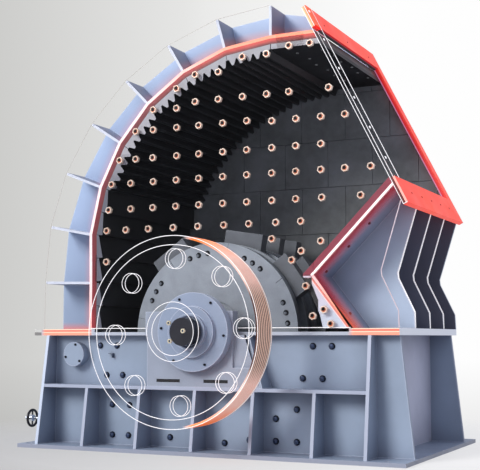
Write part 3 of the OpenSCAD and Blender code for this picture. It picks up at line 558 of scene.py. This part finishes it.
# ---- base liners ----
# Cast wear plates hung inside the base, either side of the rotor. Manganese iron, left as cast,
# nearly black, with a rubbed sheen on the faces that the stone slides over.
def seen_inside(tree):
    """1 on the inner side of a closed piece. The cut ends lie against the clear wall, and where the
    two faces share a plane it is the inner side that shows, so it takes the cut's tone too."""
    return add(tree, "NewGeometry").outputs["Backfacing"]


def cut_end(y):
    """1 on the drive-side end face, where the section cuts through"""
    return ramp(y, CUT_Y, CUT_Y - 0.0002)


NOSE = (0.879, 0, 1.277)          # where the feed floor and the lower plate meet
PLATE_OUT = (-0.788, 0, -0.615)   # straight out of the lower plate, towards the rotor
WEDGE_TOP_Z = 1.260               # the nose's wedge lies below this height


def cast_liner(name, body, worn, cut, cut_low=None, bound=False):
    made, tree, shader, place = plain(name, 0.55)
    x, y, z = split(place)
    skin_noise = clouds(place, 14.0, 7.0, 0.65)
    rubbed = clouds(place, 3.0, 3.0)
    tone = blend(ramp(skin_noise, 0.25, 0.75), shaded(body, 0.62), body)
    tone = blend(times(ramp(rubbed, 0.45, 0.75), 0.5), tone, worn)
    # Pale edges, part wear and part painted highlight
    tone = blend(times(edge_wear_and_highlight(tree, 0.004), 0.3), tone, worn)
    inside = seen_inside(tree)
    open_cut = maths("MAXIMUM", cut_end(y), inside)
    cut_tone = blend(ramp(skin_noise, 0.3, 0.7), shaded(cut, 0.86), cut)
    if cut_low:
        level, high_tone, low_tone = cut_low
        wedge = blend(ramp(z, level - 0.05, level - 0.3), high_tone, low_tone)
        cut_tone = blend(ramp(z, level, level + 0.004), wedge, cut_tone)
    if bound:
        # The wedge under the nose is dark on the rotor's side of a bent line, and the lower
        # plate's salmon paint runs on over its border
        low = ramp(z, WEDGE_TOP_Z + 0.002, WEDGE_TOP_Z - 0.002)
        steep = minus(x, ramp(z, 1.214, 1.101, 0.8605, 0.908))
        gentle = minus(x, ramp(z, 1.101, 0.906, 0.908, 0.933))
        left_of = maths("MINIMUM", ramp(steep, 0.0, -0.003), ramp(gentle, 0.0, -0.003))
        beside = along(offset(place, NOSE), PLATE_OUT)
        border = blend(ramp(beside, 0.036, 0.038), chart(246, 140, 124), chart(255, 226, 224))
        bordered = times(low, ramp(beside, 0.045, 0.043))
        cut_tone = blend(bordered, cut_tone, border)
        cut_tone = blend(times(left_of, low), cut_tone, chart(30, 30, 34))
    tone = blend(open_cut, tone, cut_tone)
    # The inner side glows with the cut's tone: painted light where no lamp reaches it
    paint(shader, tone, blend(inside, (0, 0, 0, 1), cut_tone), 0.6)
    skin(shader, place, 0.5, 70.0, 0.0012)
    return made


CUT_GREY = chart(176, 176, 182)
near_black = cast_liner("liner_iron", chart(17, 18, 21), chart(44, 46, 52), CUT_GREY,
                        (2.25, chart(150, 150, 158), chart(92, 94, 106)))
dress(near_black, "near_base_liners", "far_base_liners", "serrated_liners", "wedge_liners", "roof_liner")
# The far wall's liners take a paler iron than the other liners: painted light, for the light that reaches
# them through the clear side
dress(cast_liner("wall_liner_lit_iron", chart(112, 116, 119), chart(142, 146, 154), CUT_GREY), "far_wall_liners")
dress(cast_liner("nose_liner_iron", chart(30, 26, 30), chart(66, 60, 66), chart(150, 52, 72),
                 (1.270, chart(222, 208, 222), chart(206, 214, 230)), True), "nose_liners")

# ---- shell and its backing ----
# The shell is bent from 24 mm plate into seven flats, with a 42 mm backing plate behind the liners.
# On the section's face the plate is painted white-pink running to orange, the backing crimson.
FLATS = 7
FLAT_TURN = math.radians(14)      # what each flat turns from the next
ROOF_STEP = 0.0116                # the roof's level part lies this much inside the first flat


def blend_value(amount, first, second):
    return add(amount.id_data, "Mix", {0: amount, 2: first, 3: second}).outputs[0]


def shell_depth(x, z):
    """Depth under the outside of the shell's flats, in metres"""
    side = minus(x, SHELL_MID[0])
    rise = minus(z, SHELL_MID[2])
    turn = maths("ARCTAN2", times(side, -1.0), rise)
    turn = maths("DIVIDE", turn, FLAT_TURN)
    whole_turn = times(maths("LESS_THAN", turn, -1.0), math.tau / FLAT_TURN)
    turn = maths("ADD", turn, whole_turn)
    flat = maths("MINIMUM", maths("MAXIMUM", maths("FLOOR", turn), 0.0), FLATS - 1.0)
    normal = times(maths("ADD", flat, 0.5), FLAT_TURN)
    out = minus(times(rise, maths("COSINE", normal)), times(side, maths("SINE", normal)))
    past_top = maths("GREATER_THAN", side, 0.0)
    out = blend_value(past_top, out, minus(rise, ROOF_STEP))
    return maths("ADD", times(out, -1.0), SHELL_R * math.cos(FLAT_TURN / 2))


SLANT_OUT = (0.893, 0, 0.451)     # square to the slanted feed-end faces


def section_paint(name, cut_left, cut_right, cut_mid=None, light=0.25, inner=None,
                  body=BLUE, shade_tone=BLUE_SHADE):
    """Blue machine paint outside, bright section paint on the drive-side end"""
    made, tree, shader, place = plain(name, 0.4)
    x, y, z = split(place)
    broad = clouds(place, 1.7, 5.0)
    outside = blend(broad, shaded(body, 0.9), shaded(body, 1.08))
    # Painted shade in the corners
    outside = blend(times(corner_shade(tree, 0.3), 0.75), outside, shade_tone)
    outside = blend(facing(tree, SLANT_OUT, 0.95, 0.99), outside, chart(44, 44, 43))
    fine = clouds(place, 40.0, 3.0)
    cut = blend(ramp(x, -0.55, 0.25), cut_left, cut_right)
    if cut_mid:
        cut = blend(ramp(z, 1.35, 0.95), cut, cut_mid)
    cut = blend(times(fine, 0.25), cut, shaded(cut_left, 0.7))
    if inner:
        start, stop, inner_tone = inner
        cut = blend(ramp(shell_depth(x, z), start, stop), cut, inner_tone)
    inside = seen_inside(tree)
    open_cut = maths("MAXIMUM", cut_end(y), inside)
    # The cut faces glow a little, their inner side more: painted light
    paint(shader, blend(open_cut, outside, cut), blend(open_cut, (0, 0, 0, 1), cut))
    tree.links.new(ramp(inside, 0, 1, light, 0.8), shader.inputs["Emission Strength"])
    skin(shader, place, 0.4, 160.0, 0.0006)
    return made


dress(section_paint("shell_section", chart(255, 228, 226), chart(255, 150, 106), chart(250, 190, 185)),
      "shell_plate")
dress(section_paint("backing_paint", chart(118, 12, 34), chart(222, 58, 44), chart(158, 28, 42), 0.06,
                    inner=(0.036, 0.060, chart(104, 14, 22)), body=chart(44, 44, 43), shade_tone=chart(36, 36, 36)),
      "shell_backing")

# ---- fins and stiffening rings ----
# Eight 20 mm fins across the shell and two rings around it, all welded. The rings have a lighter
# coat than the fins, and both take the section's painted glow beside it. The fins' pale cut ends
# are a painted highlight.
dress(machine_paint("fin_paint", chart(152, 164, 188), chart(214, 222, 240), BLUE_SHADE, near_shell=True,
                    ends=(FORE, 0.8, 0.95, chart(222, 228, 242))), "shell_fins")
dress(machine_paint("ring_paint", chart(182, 205, 238), chart(214, 226, 246), chart(130, 146, 184),
                    near_shell=True), "near_stiffening_ring", "far_stiffening_ring")

# ---- clear side wall ----
# The housing's drive-side wall and the corner under the feed floor are clear sheet, so that the
# chamber shows. Their free edges carry a thin white line.
clear_sheet, _, shader, place = plain("clear_panel", 0.08)
paint(shader, blend(clouds(place, 2.0, 2.0), chart(225, 232, 245), chart(245, 248, 255)))
shader.inputs["Alpha"].default_value = 0.002
dress(clear_sheet, "near_side_wall", "near_feed_member")
line_paint, _, shader, place = plain("white_line", 0.4)
white = blend(clouds(place, 25.0, 2.0), chart(236, 236, 240), chart(255, 253, 250))
# The white lines glow a little: painted light
paint(shader, white, white, 0.4)
skin(shader, place, 0.4, 200.0, 0.0002)
LINE_R = 0.003


def lines(name, runs, body, radius=LINE_R, material=None):
    """Thin round beads laid along runs of points; a run that ends where it starts is closed"""
    bead = bpy.data.curves.new(name, "CURVE")
    bead.dimensions = "3D"
    bead.bevel_depth = radius
    bead.bevel_resolution = 1
    bead.use_fill_caps = True
    for run in runs:
        closed = (Vector(run[0]) - Vector(run[-1])).length < 1e-6
        points = run[:-1] if closed else run
        spline = bead.splines.new("POLY")
        spline.points.add(len(points) - 1)
        for point, at in zip(spline.points, points):
            point.co = (*at, 1)
        spline.use_cyclic_u = closed
    made = bpy.data.objects.new(name, bead)
    scene.collection.objects.link(made)
    bead.materials.append(material or line_paint)
    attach(made, body)
    return made


FINS = 8
FIN_TURN = 13                     # degrees from one fin to the next
TIPS_R, TIPS_Z = 1.957, 1.307     # the fins' tips lie on this arc, below the shell's own middle
NEAR_Y = -0.7455                  # outer face of the clear wall
FOOT_Z = 0.908                    # its lower edge


def fin_tip(k):
    """Where the wall's edge meets fin k, counted from the top"""
    angle = math.radians(90 + FIN_TURN * k)
    reach = TIPS_R - LINE_R
    return SHELL_MID[0] + reach * math.cos(angle), TIPS_Z + reach * math.sin(angle)


low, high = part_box("near_side_wall")
outline = [(low.x + LINE_R, FOOT_Z)] + [fin_tip(k) for k in reversed(range(FINS))]
faint, tree, shader, place = plain("faint_line", 0.5)
worn = clouds(place, 3.0, 3.0)
paint(shader, blend(worn, chart(214, 206, 194), chart(240, 234, 224)))
tree.links.new(ramp(worn, 0.3, 0.7, 0.25, 0.5), shader.inputs["Alpha"])
lines("wall_edge_line", [[(px, NEAR_Y, pz) for px, pz in outline]], "housing", 0.0024, faint)
FOOT_LINES_X = ((-0.97, -0.11), (0.14, 1.15))     # on either side of the shaft
lines("wall_foot_line", [[(px, NEAR_Y, FOOT_Z + 0.0005) for px in ends_x] for ends_x in FOOT_LINES_X],
      "housing")

# ---- liner bolts in the clear wall ----
# Studs near M36 with copper-plated hexagon nuts hold the wall liners, about 197 mm apart in a row.
# The clear wall keeps its nuts, and the far wall has the same rows outside, painted over.
copper, tree, shader, place = plain("copper_nut", 0.35, 0.25)
stain = clouds(place, 5.0, 4.0)
tone = blend(ramp(stain, 0.35, 0.65), chart(232, 200, 176), chart(250, 230, 212))
# Pale edges, part wear and part painted highlight
tone = blend(times(edge_wear_and_highlight(tree, 0.003), 0.6), tone, chart(255, 240, 226))
paint(shader, tone)
skin(shader, place, 0.35, 240.0, 0.0003)
SPLIT_Z = 880
bolt_rows = (
    (2056, (869, 706)), (2016, (528, 334)), (1924, (136, -60)), (1834, (-219,)), (1690, (-421,)),
    (1718, (1010, 704, 529, 335, 136, -58)), (1683, (-218,)),
    (1535, (-575, -420, -215, -27, 173, 370)), (1516, (570, 758, 949, 1129)),
    (1320, (-717, -573, -422, -214, -26, 174, 369, 569, 756, 948)),
    (1136, (-788, -616, -416, -217, -26, 174, 369, 568, 755, 946, 1125, 1315)),
    (938, (-812, -613, -419, -220, -25, 174, 369, 568, 754, 952, 1240)),
    (778, (-828, -656, -457, -241, -32, 183, 385, 599, 792)),
    (661, (567,)), (632, (942,)), (567, (794,)), (505, (721,)), (319, (826,)), (109, (878,)), (153, (961,)),
    (53, (1012,)), (538, (-828,)))
LINER_NUT = turned((6, 0, ((0.0195, 0), (0.029, 0), (0.029, 0.018), (0.027, 0.022), (0.0215, 0.022),
                           (0.0195, 0.020), (0.0195, 0))),
                   (10, 1, ((0, 0.001), (0.0195, 0.001), (0.0195, 0.010), (0, 0.010))))
# Each stud end sits behind an off-centre black disc: painted shade in the nut's hole, leaving a crescent of
# the stud as a painted highlight
STUD_SHADE_DISC = turned((8, 0, ((0, 0), (0.0115, 0), (0.0115, 0.003), (0, 0.003))))
stud_copper = steel("stud_copper", chart(200, 112, 78), chart(236, 168, 136), 0.4, 0.3)
spots = [(px * MM, (row + SPLIT_Z) * MM) for row, across_x in bolt_rows for px in across_x]
NUT_Y = 0.750                     # outside of both walls
NUT_TURN = 0.26
SHADE_X, SHADE_OUT, SHADE_Z = -0.005, 0.010, 0.003   # the black disc on each stud, off-centre: painted shade in the nut's hole
OVER_BASE_Z = 1.0                 # below it the far base wall stands behind the liners
set_out("near_liner_nuts", LINER_NUT, [((px, -NUT_Y, pz), (0, -1, 0), NUT_TURN) for px, pz in spots],
        (copper, stud_copper), "housing")
set_out("near_stud_shades", STUD_SHADE_DISC,
        [((px + SHADE_X, -NUT_Y - SHADE_OUT, pz + SHADE_Z), (0, -1, 0), 0) for px, pz in spots],
        black_steel, "housing")
set_out("far_liner_nuts", LINER_NUT,
        [((px, NUT_Y, pz), (0, 1, 0), NUT_TURN) for px, pz in spots if pz > OVER_BASE_Z],
        (blue, black_steel), "housing")

# ---- roof liner bolts ----
# Countersunk heads in two rows hold the flat liner under the roof. The stone has polished them.
ROOF_HEAD = turned((10, 0, ((0, 0), (0.012, 0), (0.010, 0.004), (0, 0.005))))
HEAD_ROWS_X, HEAD_START_Y, HEAD_PITCH, HEAD_STAGGER = (0.68, 0.88), -0.545, 0.19, 0.02
roof_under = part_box("roof_liner")[0].z
set_out("roof_liner_heads", ROOF_HEAD,
        [((px + HEAD_STAGGER * (i % 2), HEAD_START_Y + HEAD_PITCH * i, roof_under), (0, 0, -1), 0)
         for px in HEAD_ROWS_X for i in range(6)],
        steel("rubbed_steel", chart(128, 130, 130), chart(190, 190, 188), 0.4, 0.6), "housing")

# ---- feed flange ----
# A flat frame around the slanted feed opening, where the chute bolts on. It is painted in the red
# of the section; small screws with sunk heads run along its upper and lower members.
red, tree, shader, place = plain("section_red", 0.42)
_, y, _ = split(place)
broad = clouds(place, 1.6, 4.0)
tone = blend(ramp(broad, 0.3, 0.7), chart(250, 60, 40), chart(255, 82, 54))
LEAN = math.radians(26.8)
FEED_TOP = Vector((0.830, 0, 3.224))      # the frame's top edge, on its outer face
FEED_OUT = Vector((math.cos(LEAN), 0, math.sin(LEAN)))
FEED_DOWN = Vector((math.sin(LEAN), 0, -math.cos(LEAN)))
MEMBER = 0.104                            # half the width of the upper and lower members
from_top = offset(place, FEED_TOP)
inward = times(along(from_top, FEED_OUT), -1.0)
down = along(from_top, FEED_DOWN)
# The far member's inner side darkens to a purple line at the back, the upper one's is nearly black
side_on = facing(tree, FORE, 0.9, 0.99)
inner = times(side_on, ramp(y, 0.5, 0.63))
side_tone = blend(ramp(inward, 0.004, 0.016), chart(232, 60, 46), chart(206, 28, 34))
side_tone = blend(ramp(inward, 0.026, 0.030), side_tone, chart(196, 120, 156))
tone = blend(inner, tone, side_tone)
under = times(facing(tree, FEED_DOWN, 0.9, 0.99), ramp(down, 0.30, 0.25))
under = times(under, ramp(down, 0.10, 0.12))
under_tone = blend(ramp(inward, 0.010, 0.013), chart(196, 24, 30), chart(120, 60, 74))
under_tone = blend(ramp(inward, 0.016, 0.019), under_tone, chart(40, 40, 38))
tone = blend(under, tone, under_tone)
# The near ends are outlined in salmon, with dark red inside the lower one
near_end = times(side_on, ramp(y, -0.6, -0.74))
low_end = blend(ramp(inward, 0.014, 0.016), chart(255, 160, 148), chart(24, 8, 8))
low_end = blend(ramp(inward, 0.019, 0.021), low_end, chart(96, 22, 18))
high_end = blend(ramp(inward, 0.010, 0.030), chart(246, 92, 38), chart(250, 186, 140))
tone = blend(near_end, tone, blend(ramp(down, 0.5, 0.6), high_end, low_end))
corner_face = times(ramp(y, -0.640, -0.646), ramp(down, 0.3, 0.2))
corner_face = times(corner_face, ramp(inward, 0.002, 0.001))
tone = blend(corner_face, tone, chart(246, 84, 30))
tone = blend(ramp(y, 0.738, 0.744), tone, chart(196, 66, 50))
# The red glows at half strength: painted light, so that it stays bright where the lamp doesn't reach
paint(shader, tone, tone, 0.5)
skin(shader, place, 0.42, 150.0, 0.0005)
dress(red, "feed_flange")


def feed_point(down, inward, y_at):
    return FEED_TOP + down * FEED_DOWN - inward * FEED_OUT + Vector((0, y_at, 0))


low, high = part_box("feed_flange")
feed_long = (high.x - FEED_TOP.x) / math.sin(LEAN)
rusty = steel("flange_screw_steel", chart(120, 44, 36), chart(170, 70, 56))
SUNK = turned((10, 0, ((0, 0), (0.008, 0), (0.006, 0.003), (0, 0.003))))
set_out("feed_flange_screws", SUNK,
        [(feed_point(feed_long - MEMBER, 0, -0.50 + 0.25 * i), FEED_OUT, 0) for i in range(5)]
        + [(feed_point(MEMBER, 0, -0.5 + 0.5 * i), FEED_OUT, 0) for i in range(3)],
        rusty, "housing")

# ---- clear feed member ----
# The drive-side member of the feed frame is clear too, with white lines on its long edges and six
# white nuts that hold it to the wall behind.
UPPER, LOWER = 0.176, feed_long - 0.210   # where the red upper and lower members end
MEMBER_Y, INNER_Y = -0.7505, -0.643
BACK = 0.034                              # depth of the member behind its outer face
INSET = 0.004
runs = [[feed_point(INSET, BACK, MEMBER_Y), feed_point(feed_long - INSET, BACK, MEMBER_Y)],
        [feed_point(INSET, 0.0106, MEMBER_Y), feed_point(UPPER, 0.0106, MEMBER_Y)],
        [feed_point(UPPER, BACK, INNER_Y), feed_point(LOWER, BACK, INNER_Y)],
        [feed_point(INSET, 0.0, INNER_Y), feed_point(LOWER, 0.0, INNER_Y)],
        [feed_point(feed_long - INSET, BACK, MEMBER_Y), feed_point(feed_long - INSET, INSET, MEMBER_Y)]]
lines("feed_member_lines", runs, "housing", 0.0024)
WHITE_NUT = turned((6, 0, ((0, 0), (0.010, 0), (0.010, 0.004), (0.008, 0.006), (0, 0.006))))
WHITE_NUT_START, WHITE_NUT_PITCH, WHITE_NUT_Y = 0.055, 0.2475, -0.738
set_out("feed_member_nuts", WHITE_NUT,
        [(feed_point(WHITE_NUT_START + WHITE_NUT_PITCH * i, 0, WHITE_NUT_Y), FEED_OUT, 0) for i in range(6)],
        line_paint, "housing")

# ---- feed floor, lower plate and ribs ----
# Two 24 mm plates meet in the nose over the rotor's feed side, on three upright ribs. The plates'
# drive-side ends carry the section's white and pink.
def nose_paint(name, cut_high, cut_low, light):
    made, tree, shader, place = plain(name, 0.4)
    _, y, z = split(place)
    broad = clouds(place, 1.7, 5.0)
    outside = blend(broad, chart(146, 158, 178), chart(168, 180, 202))
    # Painted shade in the corners; near the section the plates' outsides take its crimson as a painted glow
    outside = blend(times(corner_shade(tree, 0.3), 0.6), outside, chart(72, 78, 104))
    outside = blend(ramp(y, -0.60, -0.725), outside, chart(150, 44, 66))
    cut = blend(ramp(z, 1.26, 1.0), cut_high, cut_low)
    open_cut = cut_end(y)
    paint(shader, blend(open_cut, outside, cut), blend(open_cut, (0, 0, 0, 1), cut), light)
    skin(shader, place, 0.4, 160.0, 0.0006)
    return made


dress(nose_paint("floor_section", chart(255, 244, 242), chart(255, 244, 242), 0.35), "feed_floor")
dress(nose_paint("lower_plate_section", chart(255, 200, 200), chart(255, 150, 105), 0.25), "lower_plate")
# The ribs' pale cut ends are a painted highlight; past bays the ribs' and the far wall's flat faces are
# painted in deep shade
dress(machine_paint("rib_paint", chart(184, 200, 222), chart(232, 232, 240), chart(84, 88, 104),
                    ends=(FORE, 0.5, 0.2, chart(236, 236, 242)), bays=-0.2), "feed_end_ribs")
dress(machine_paint("far_wall_paint", BLUE, BLUE_EDGE, BLUE_SHADE, bays=0.6), "far_side_wall")

# The clear corner below them carries the section's crimson along both plates as a painted glow
FLOOR_TURN = math.radians(45.5)
FLOOR_ALONG = Vector((math.cos(FLOOR_TURN), 0, math.sin(FLOOR_TURN)))
FLOOR_UNDER = Vector((math.sin(FLOOR_TURN), 0, -math.cos(FLOOR_TURN)))
glow, tree, shader, place = plain("clear_corner", 0.1)
_, _, z = split(place)
from_nose = offset(place, NOSE)
floor_deep = maths("ABSOLUTE", along(from_nose, FLOOR_UNDER))
plate_deep = maths("ABSOLUTE", along(from_nose, PLATE_OUT))
deep = maths("MINIMUM", floor_deep, plate_deep)
patchy = clouds(place, 6.0, 4.0)
cover = maths("POWER", ramp(deep, 0.075, 0.0), 1.5)
cover = times(cover, ramp(patchy, 0.2, 0.8, 0.75, 1.0))
crimson = blend(ramp(deep, 0.0, 0.05), chart(150, 24, 44), chart(196, 70, 90))
crimson = blend(ramp(z, 1.12, 0.95), crimson, chart(244, 110, 84))
paint(shader, crimson)
tree.links.new(ramp(cover, 0, 1, 0.002, 0.72), shader.inputs["Alpha"])
dress(glow, "near_gusset")
blush = flecked("blush_line", 0.4, chart(222, 206, 214), chart(244, 226, 230), 25.0, 200.0, 0.0002, 2.0)
corner_edge = [feed_point(feed_long - 0.036, 0.040, NEAR_Y), Vector((1.389, NEAR_Y, 1.343)),
               Vector((1.375, NEAR_Y, 1.301)), Vector((1.379, NEAR_Y, 1.259)), Vector((1.494, NEAR_Y, 1.02)),
               Vector((1.496, NEAR_Y, 0.908))]
lines("corner_edge_line", [corner_edge], "housing", 0.0042, blush)
# White beads along the ribs' front edges are painted highlights
RIBS_Y = (-0.375, 0.0, 0.375)
rib_edges = [[Vector((point.x + 0.003, y_at, point.z)) for point in corner_edge] for y_at in RIBS_Y]
lines("rib_edge_lines", rib_edges, "housing", 0.0052)
FLOOR_BOLT = turned((6, 0, ((0, 0), (0.012, 0), (0.012, 0.008), (0.009, 0.011), (0, 0.011))))
FLOOR_BOLTS = (0.048, 0.292, 0.512)       # from the nose, up the floor
FLOOR_BOLT_Y = Vector((0, -0.59, 0))
PLATE_ALONG, PLATE_INSIDE = Vector((0.615, 0, -0.788)), (0.788, 0, 0.615)
PLATE_BOLT, PLATE_BOLT_Y = 0.344, Vector((0, -0.595, 0))
set_out("feed_floor_bolts", FLOOR_BOLT,
        [(Vector(NOSE) + t * FLOOR_ALONG + FLOOR_BOLT_Y, FLOOR_UNDER, 0) for t in FLOOR_BOLTS]
        + [(Vector(NOSE) + PLATE_BOLT * PLATE_ALONG + PLATE_BOLT_Y, PLATE_INSIDE, 0)],
        black_steel, "housing")

# ---- rotor ----
# Seven forged discs on a stepped shaft, with forged hammers on pins between them. A guard ring
# covers each end disc, held by eight sets of three sunk screws. Grey iron, rubbed by the stone.
def rotor_iron(name, body, pale, roughness=0.45):
    made, tree, shader, place = plain(name, roughness, 0.35)
    scuff = clouds(place, 6.0, 7.0, 0.6, 0.6)
    tone = blend(ramp(scuff, 0.3, 0.7), shaded(body, 0.84), shaded(body, 1.12))
    # Painted shade in the corners, and pale edges that are part wear and part painted highlight
    tone = blend(times(corner_shade(tree, 0.12), 0.7), tone, chart(40, 42, 48))
    tone = blend(times(edge_wear_and_highlight(tree, 0.006), 0.5), tone, pale)
    paint(shader, tone)
    skin(shader, place, roughness, 120.0, 0.0008)
    return made


dress(rotor_iron("rotor_iron", chart(142, 149, 158), chart(190, 196, 206)), "rotor_discs", "guard_plates")
dress(rotor_iron("hammer_iron", chart(96, 100, 107), chart(150, 154, 160)), "hammers")
dress(steel("shaft_steel", chart(26, 27, 38), chart(74, 78, 100), 0.4, 0.2), "main_shaft")
# In each screw sink a black disc is painted shade, and the grey head stands off-centre in it
GUARD_SINK_SHADE = turned((16, 1, ((0, 0), (0.021, 0), (0.021, 0.002), (0, 0.002))))
GUARD_HEAD = turned((14, 0, ((0, 0.001), (0.012, 0.001), (0.012, 0.008), (0.010, 0.010), (0, 0.010))))
guard_grey = steel("guard_screw_steel", chart(104, 110, 118), chart(150, 156, 164))
SETS, FIRST_SET, SCREW_STEP = 8, 58.5, 7.4        # of three screws round a ring; degrees
GUARD_R, GUARD_Y = 0.598, -0.545
SCREW_SHIFT = Vector((-0.004, 0, -0.004))
for side, name in ((1, "near"), (-1, "far")):
    spots = []
    for group in range(SETS):
        for step in (-SCREW_STEP, 0, SCREW_STEP):
            a = math.radians(FIRST_SET + 360 / SETS * group + step)
            spots.append(Vector((GUARD_R * math.cos(a), side * GUARD_Y, AXIS_Z + GUARD_R * math.sin(a))))
    set_out(name + "_guard_sink_shades", GUARD_SINK_SHADE, [(at, (0, -side, 0), 0) for at in spots],
            (black_steel, black_steel), "rotor")
    set_out(name + "_guard_screws", GUARD_HEAD, [(at + SCREW_SHIFT, (0, -side, 0), 0) for at in spots],
            guard_grey, "rotor")

# ---- drive pulley ----
# A grooved pulley for eight V-belts, cast in one with its web and hub. It is shown clear, with a
# white line on each turned edge; one sector of the rim keeps its copper and orange coat, which
# carries painted shade, painted highlights and a slight painted glow.
PULLEY_R = 0.673
RIM_INSIDE = 0.650
FRONT_Y, BACK_Y = -1.228, -1.000          # the rim's two faces
GROOVE_BOTTOM, GROOVE_TOP = 0.667, PULLEY_R - 0.0002
sheave, tree, shader, place = plain("pulley_iron", 0.4)
_, y, _ = split(place)
out = offset(place, (0, 0, AXIS_Z))
radius = from_axis(out, (1, 0, 1))
right, _, up = split(out)
turn = maths("ABSOLUTE", maths("ARCTAN2", up, right))
# The sector is pale towards its middle, a painted highlight, and orange beyond it
outer = ramp(turn, math.radians(48), math.radians(70))
coat = blend(outer, chart(240, 206, 194), chart(255, 136, 58))
# Near its middle the groove valleys are painted dark, painted shade, and their lips pale, a painted highlight
grooved = ramp(turn, math.radians(32), math.radians(20))
deep = times(grooved, ramp(radius, GROOVE_TOP, GROOVE_BOTTOM))
coat = blend(deep, coat, chart(44, 14, 8))
groove_lip_highlight = times(grooved, ramp(radius, GROOVE_TOP - 0.0013, GROOVE_TOP))
coat = blend(groove_lip_highlight, coat, chart(250, 214, 190))
coat = blend(times(clouds(place, 40.0, 3.0), 0.2), coat, chart(190, 120, 90))
sector = ramp(turn, math.radians(82), math.radians(75))
rim = times(ramp(radius, RIM_INSIDE - 0.002, RIM_INSIDE), sector)
rim = times(rim, times(ramp(y, FRONT_Y + 0.0001, FRONT_Y + 0.0005),
                       ramp(y, BACK_Y - 0.0001, BACK_Y - 0.0005)))
# The coat glows a little: painted light
paint(shader, blend(rim, chart(235, 236, 240), coat), blend(rim, (0, 0, 0, 1), coat), 0.3)
tree.links.new(ramp(rim, 0, 1, 0.0004, 0.96), shader.inputs["Alpha"])
dress(sheave, "drive_pulley")
scene.cycles.transparent_max_bounces = 64     # a look along the clear rim crosses every groove


def ring(radius, y_at, start=0.0, stop=360.0, at=(0, AXIS_Z)):
    """Points round the axis, or round another centre, from one angle to another"""
    count = max(12, round((stop - start) / 3.75))
    return [(at[0] + radius * math.cos(a), y_at, at[1] + radius * math.sin(a))
            for a in (math.radians(start + (stop - start) * i / count) for i in range(count + 1))]


def pulley_lines(name, rings, radius):
    lines(name, rings, "rotor", radius)


RIM_LINE_Y = FRONT_Y + 0.0035
WEB_R = 0.605                             # the web's outer edge
HUB_FACE_Y, HUB_OUT, HUB_IN = -1.1945, 0.210, 0.162
HOLES, HOLE_CIRCLE, HOLE_R, HOLE_FACES_Y = 8, 0.516, 0.071, (-1.1355, -1.0925)
HUB_BOLTS_R, HUB_BOLTS_Y = 0.073, -1.168
pulley_lines("pulley_rim_lines", [ring(PULLEY_R - LINE_R, RIM_LINE_Y), ring(WEB_R, RIM_LINE_Y)], 0.0027)
pulley_lines("pulley_back_line", [ring(PULLEY_R - LINE_R, BACK_Y - 0.004, -80, 80)], 0.0025)
pulley_lines("pulley_hub_lines", [ring(HUB_OUT - LINE_R, HUB_FACE_Y), ring(HUB_IN + LINE_R, HUB_FACE_Y)],
             0.0023)
holes = [(HOLE_CIRCLE * math.cos(a), AXIS_Z + HOLE_CIRCLE * math.sin(a))
         for a in (math.radians(360 / HOLES * i + 2.5) for i in range(HOLES))]
pulley_lines("pulley_hole_lines",
             [ring(HOLE_R, y_at, 0, 360, at) for at in holes for y_at in HOLE_FACES_Y], 0.0022)
HUB_BOLT = turned((6, 0, ((0.009, 0), (0.018, 0), (0.018, 0.012), (0.015, 0.015), (0.011, 0.015),
                          (0.009, 0.013), (0.009, 0))),
                  (10, 1, ((0, 0.001), (0.0085, 0.001), (0.0085, 0.008), (0, 0.008))))
cream = steel("hub_bolt_plating", chart(226, 216, 186), chart(250, 244, 228), 0.35, 0.2)
set_out("pulley_hub_bolts", HUB_BOLT,
        [((HUB_BOLTS_R * math.cos(a), HUB_BOLTS_Y, AXIS_Z + HUB_BOLTS_R * math.sin(a)), (0, -1, 0), a)
         for a in (math.radians(4 + 120 * i) for i in range(3))], (cream, blued), "rotor")
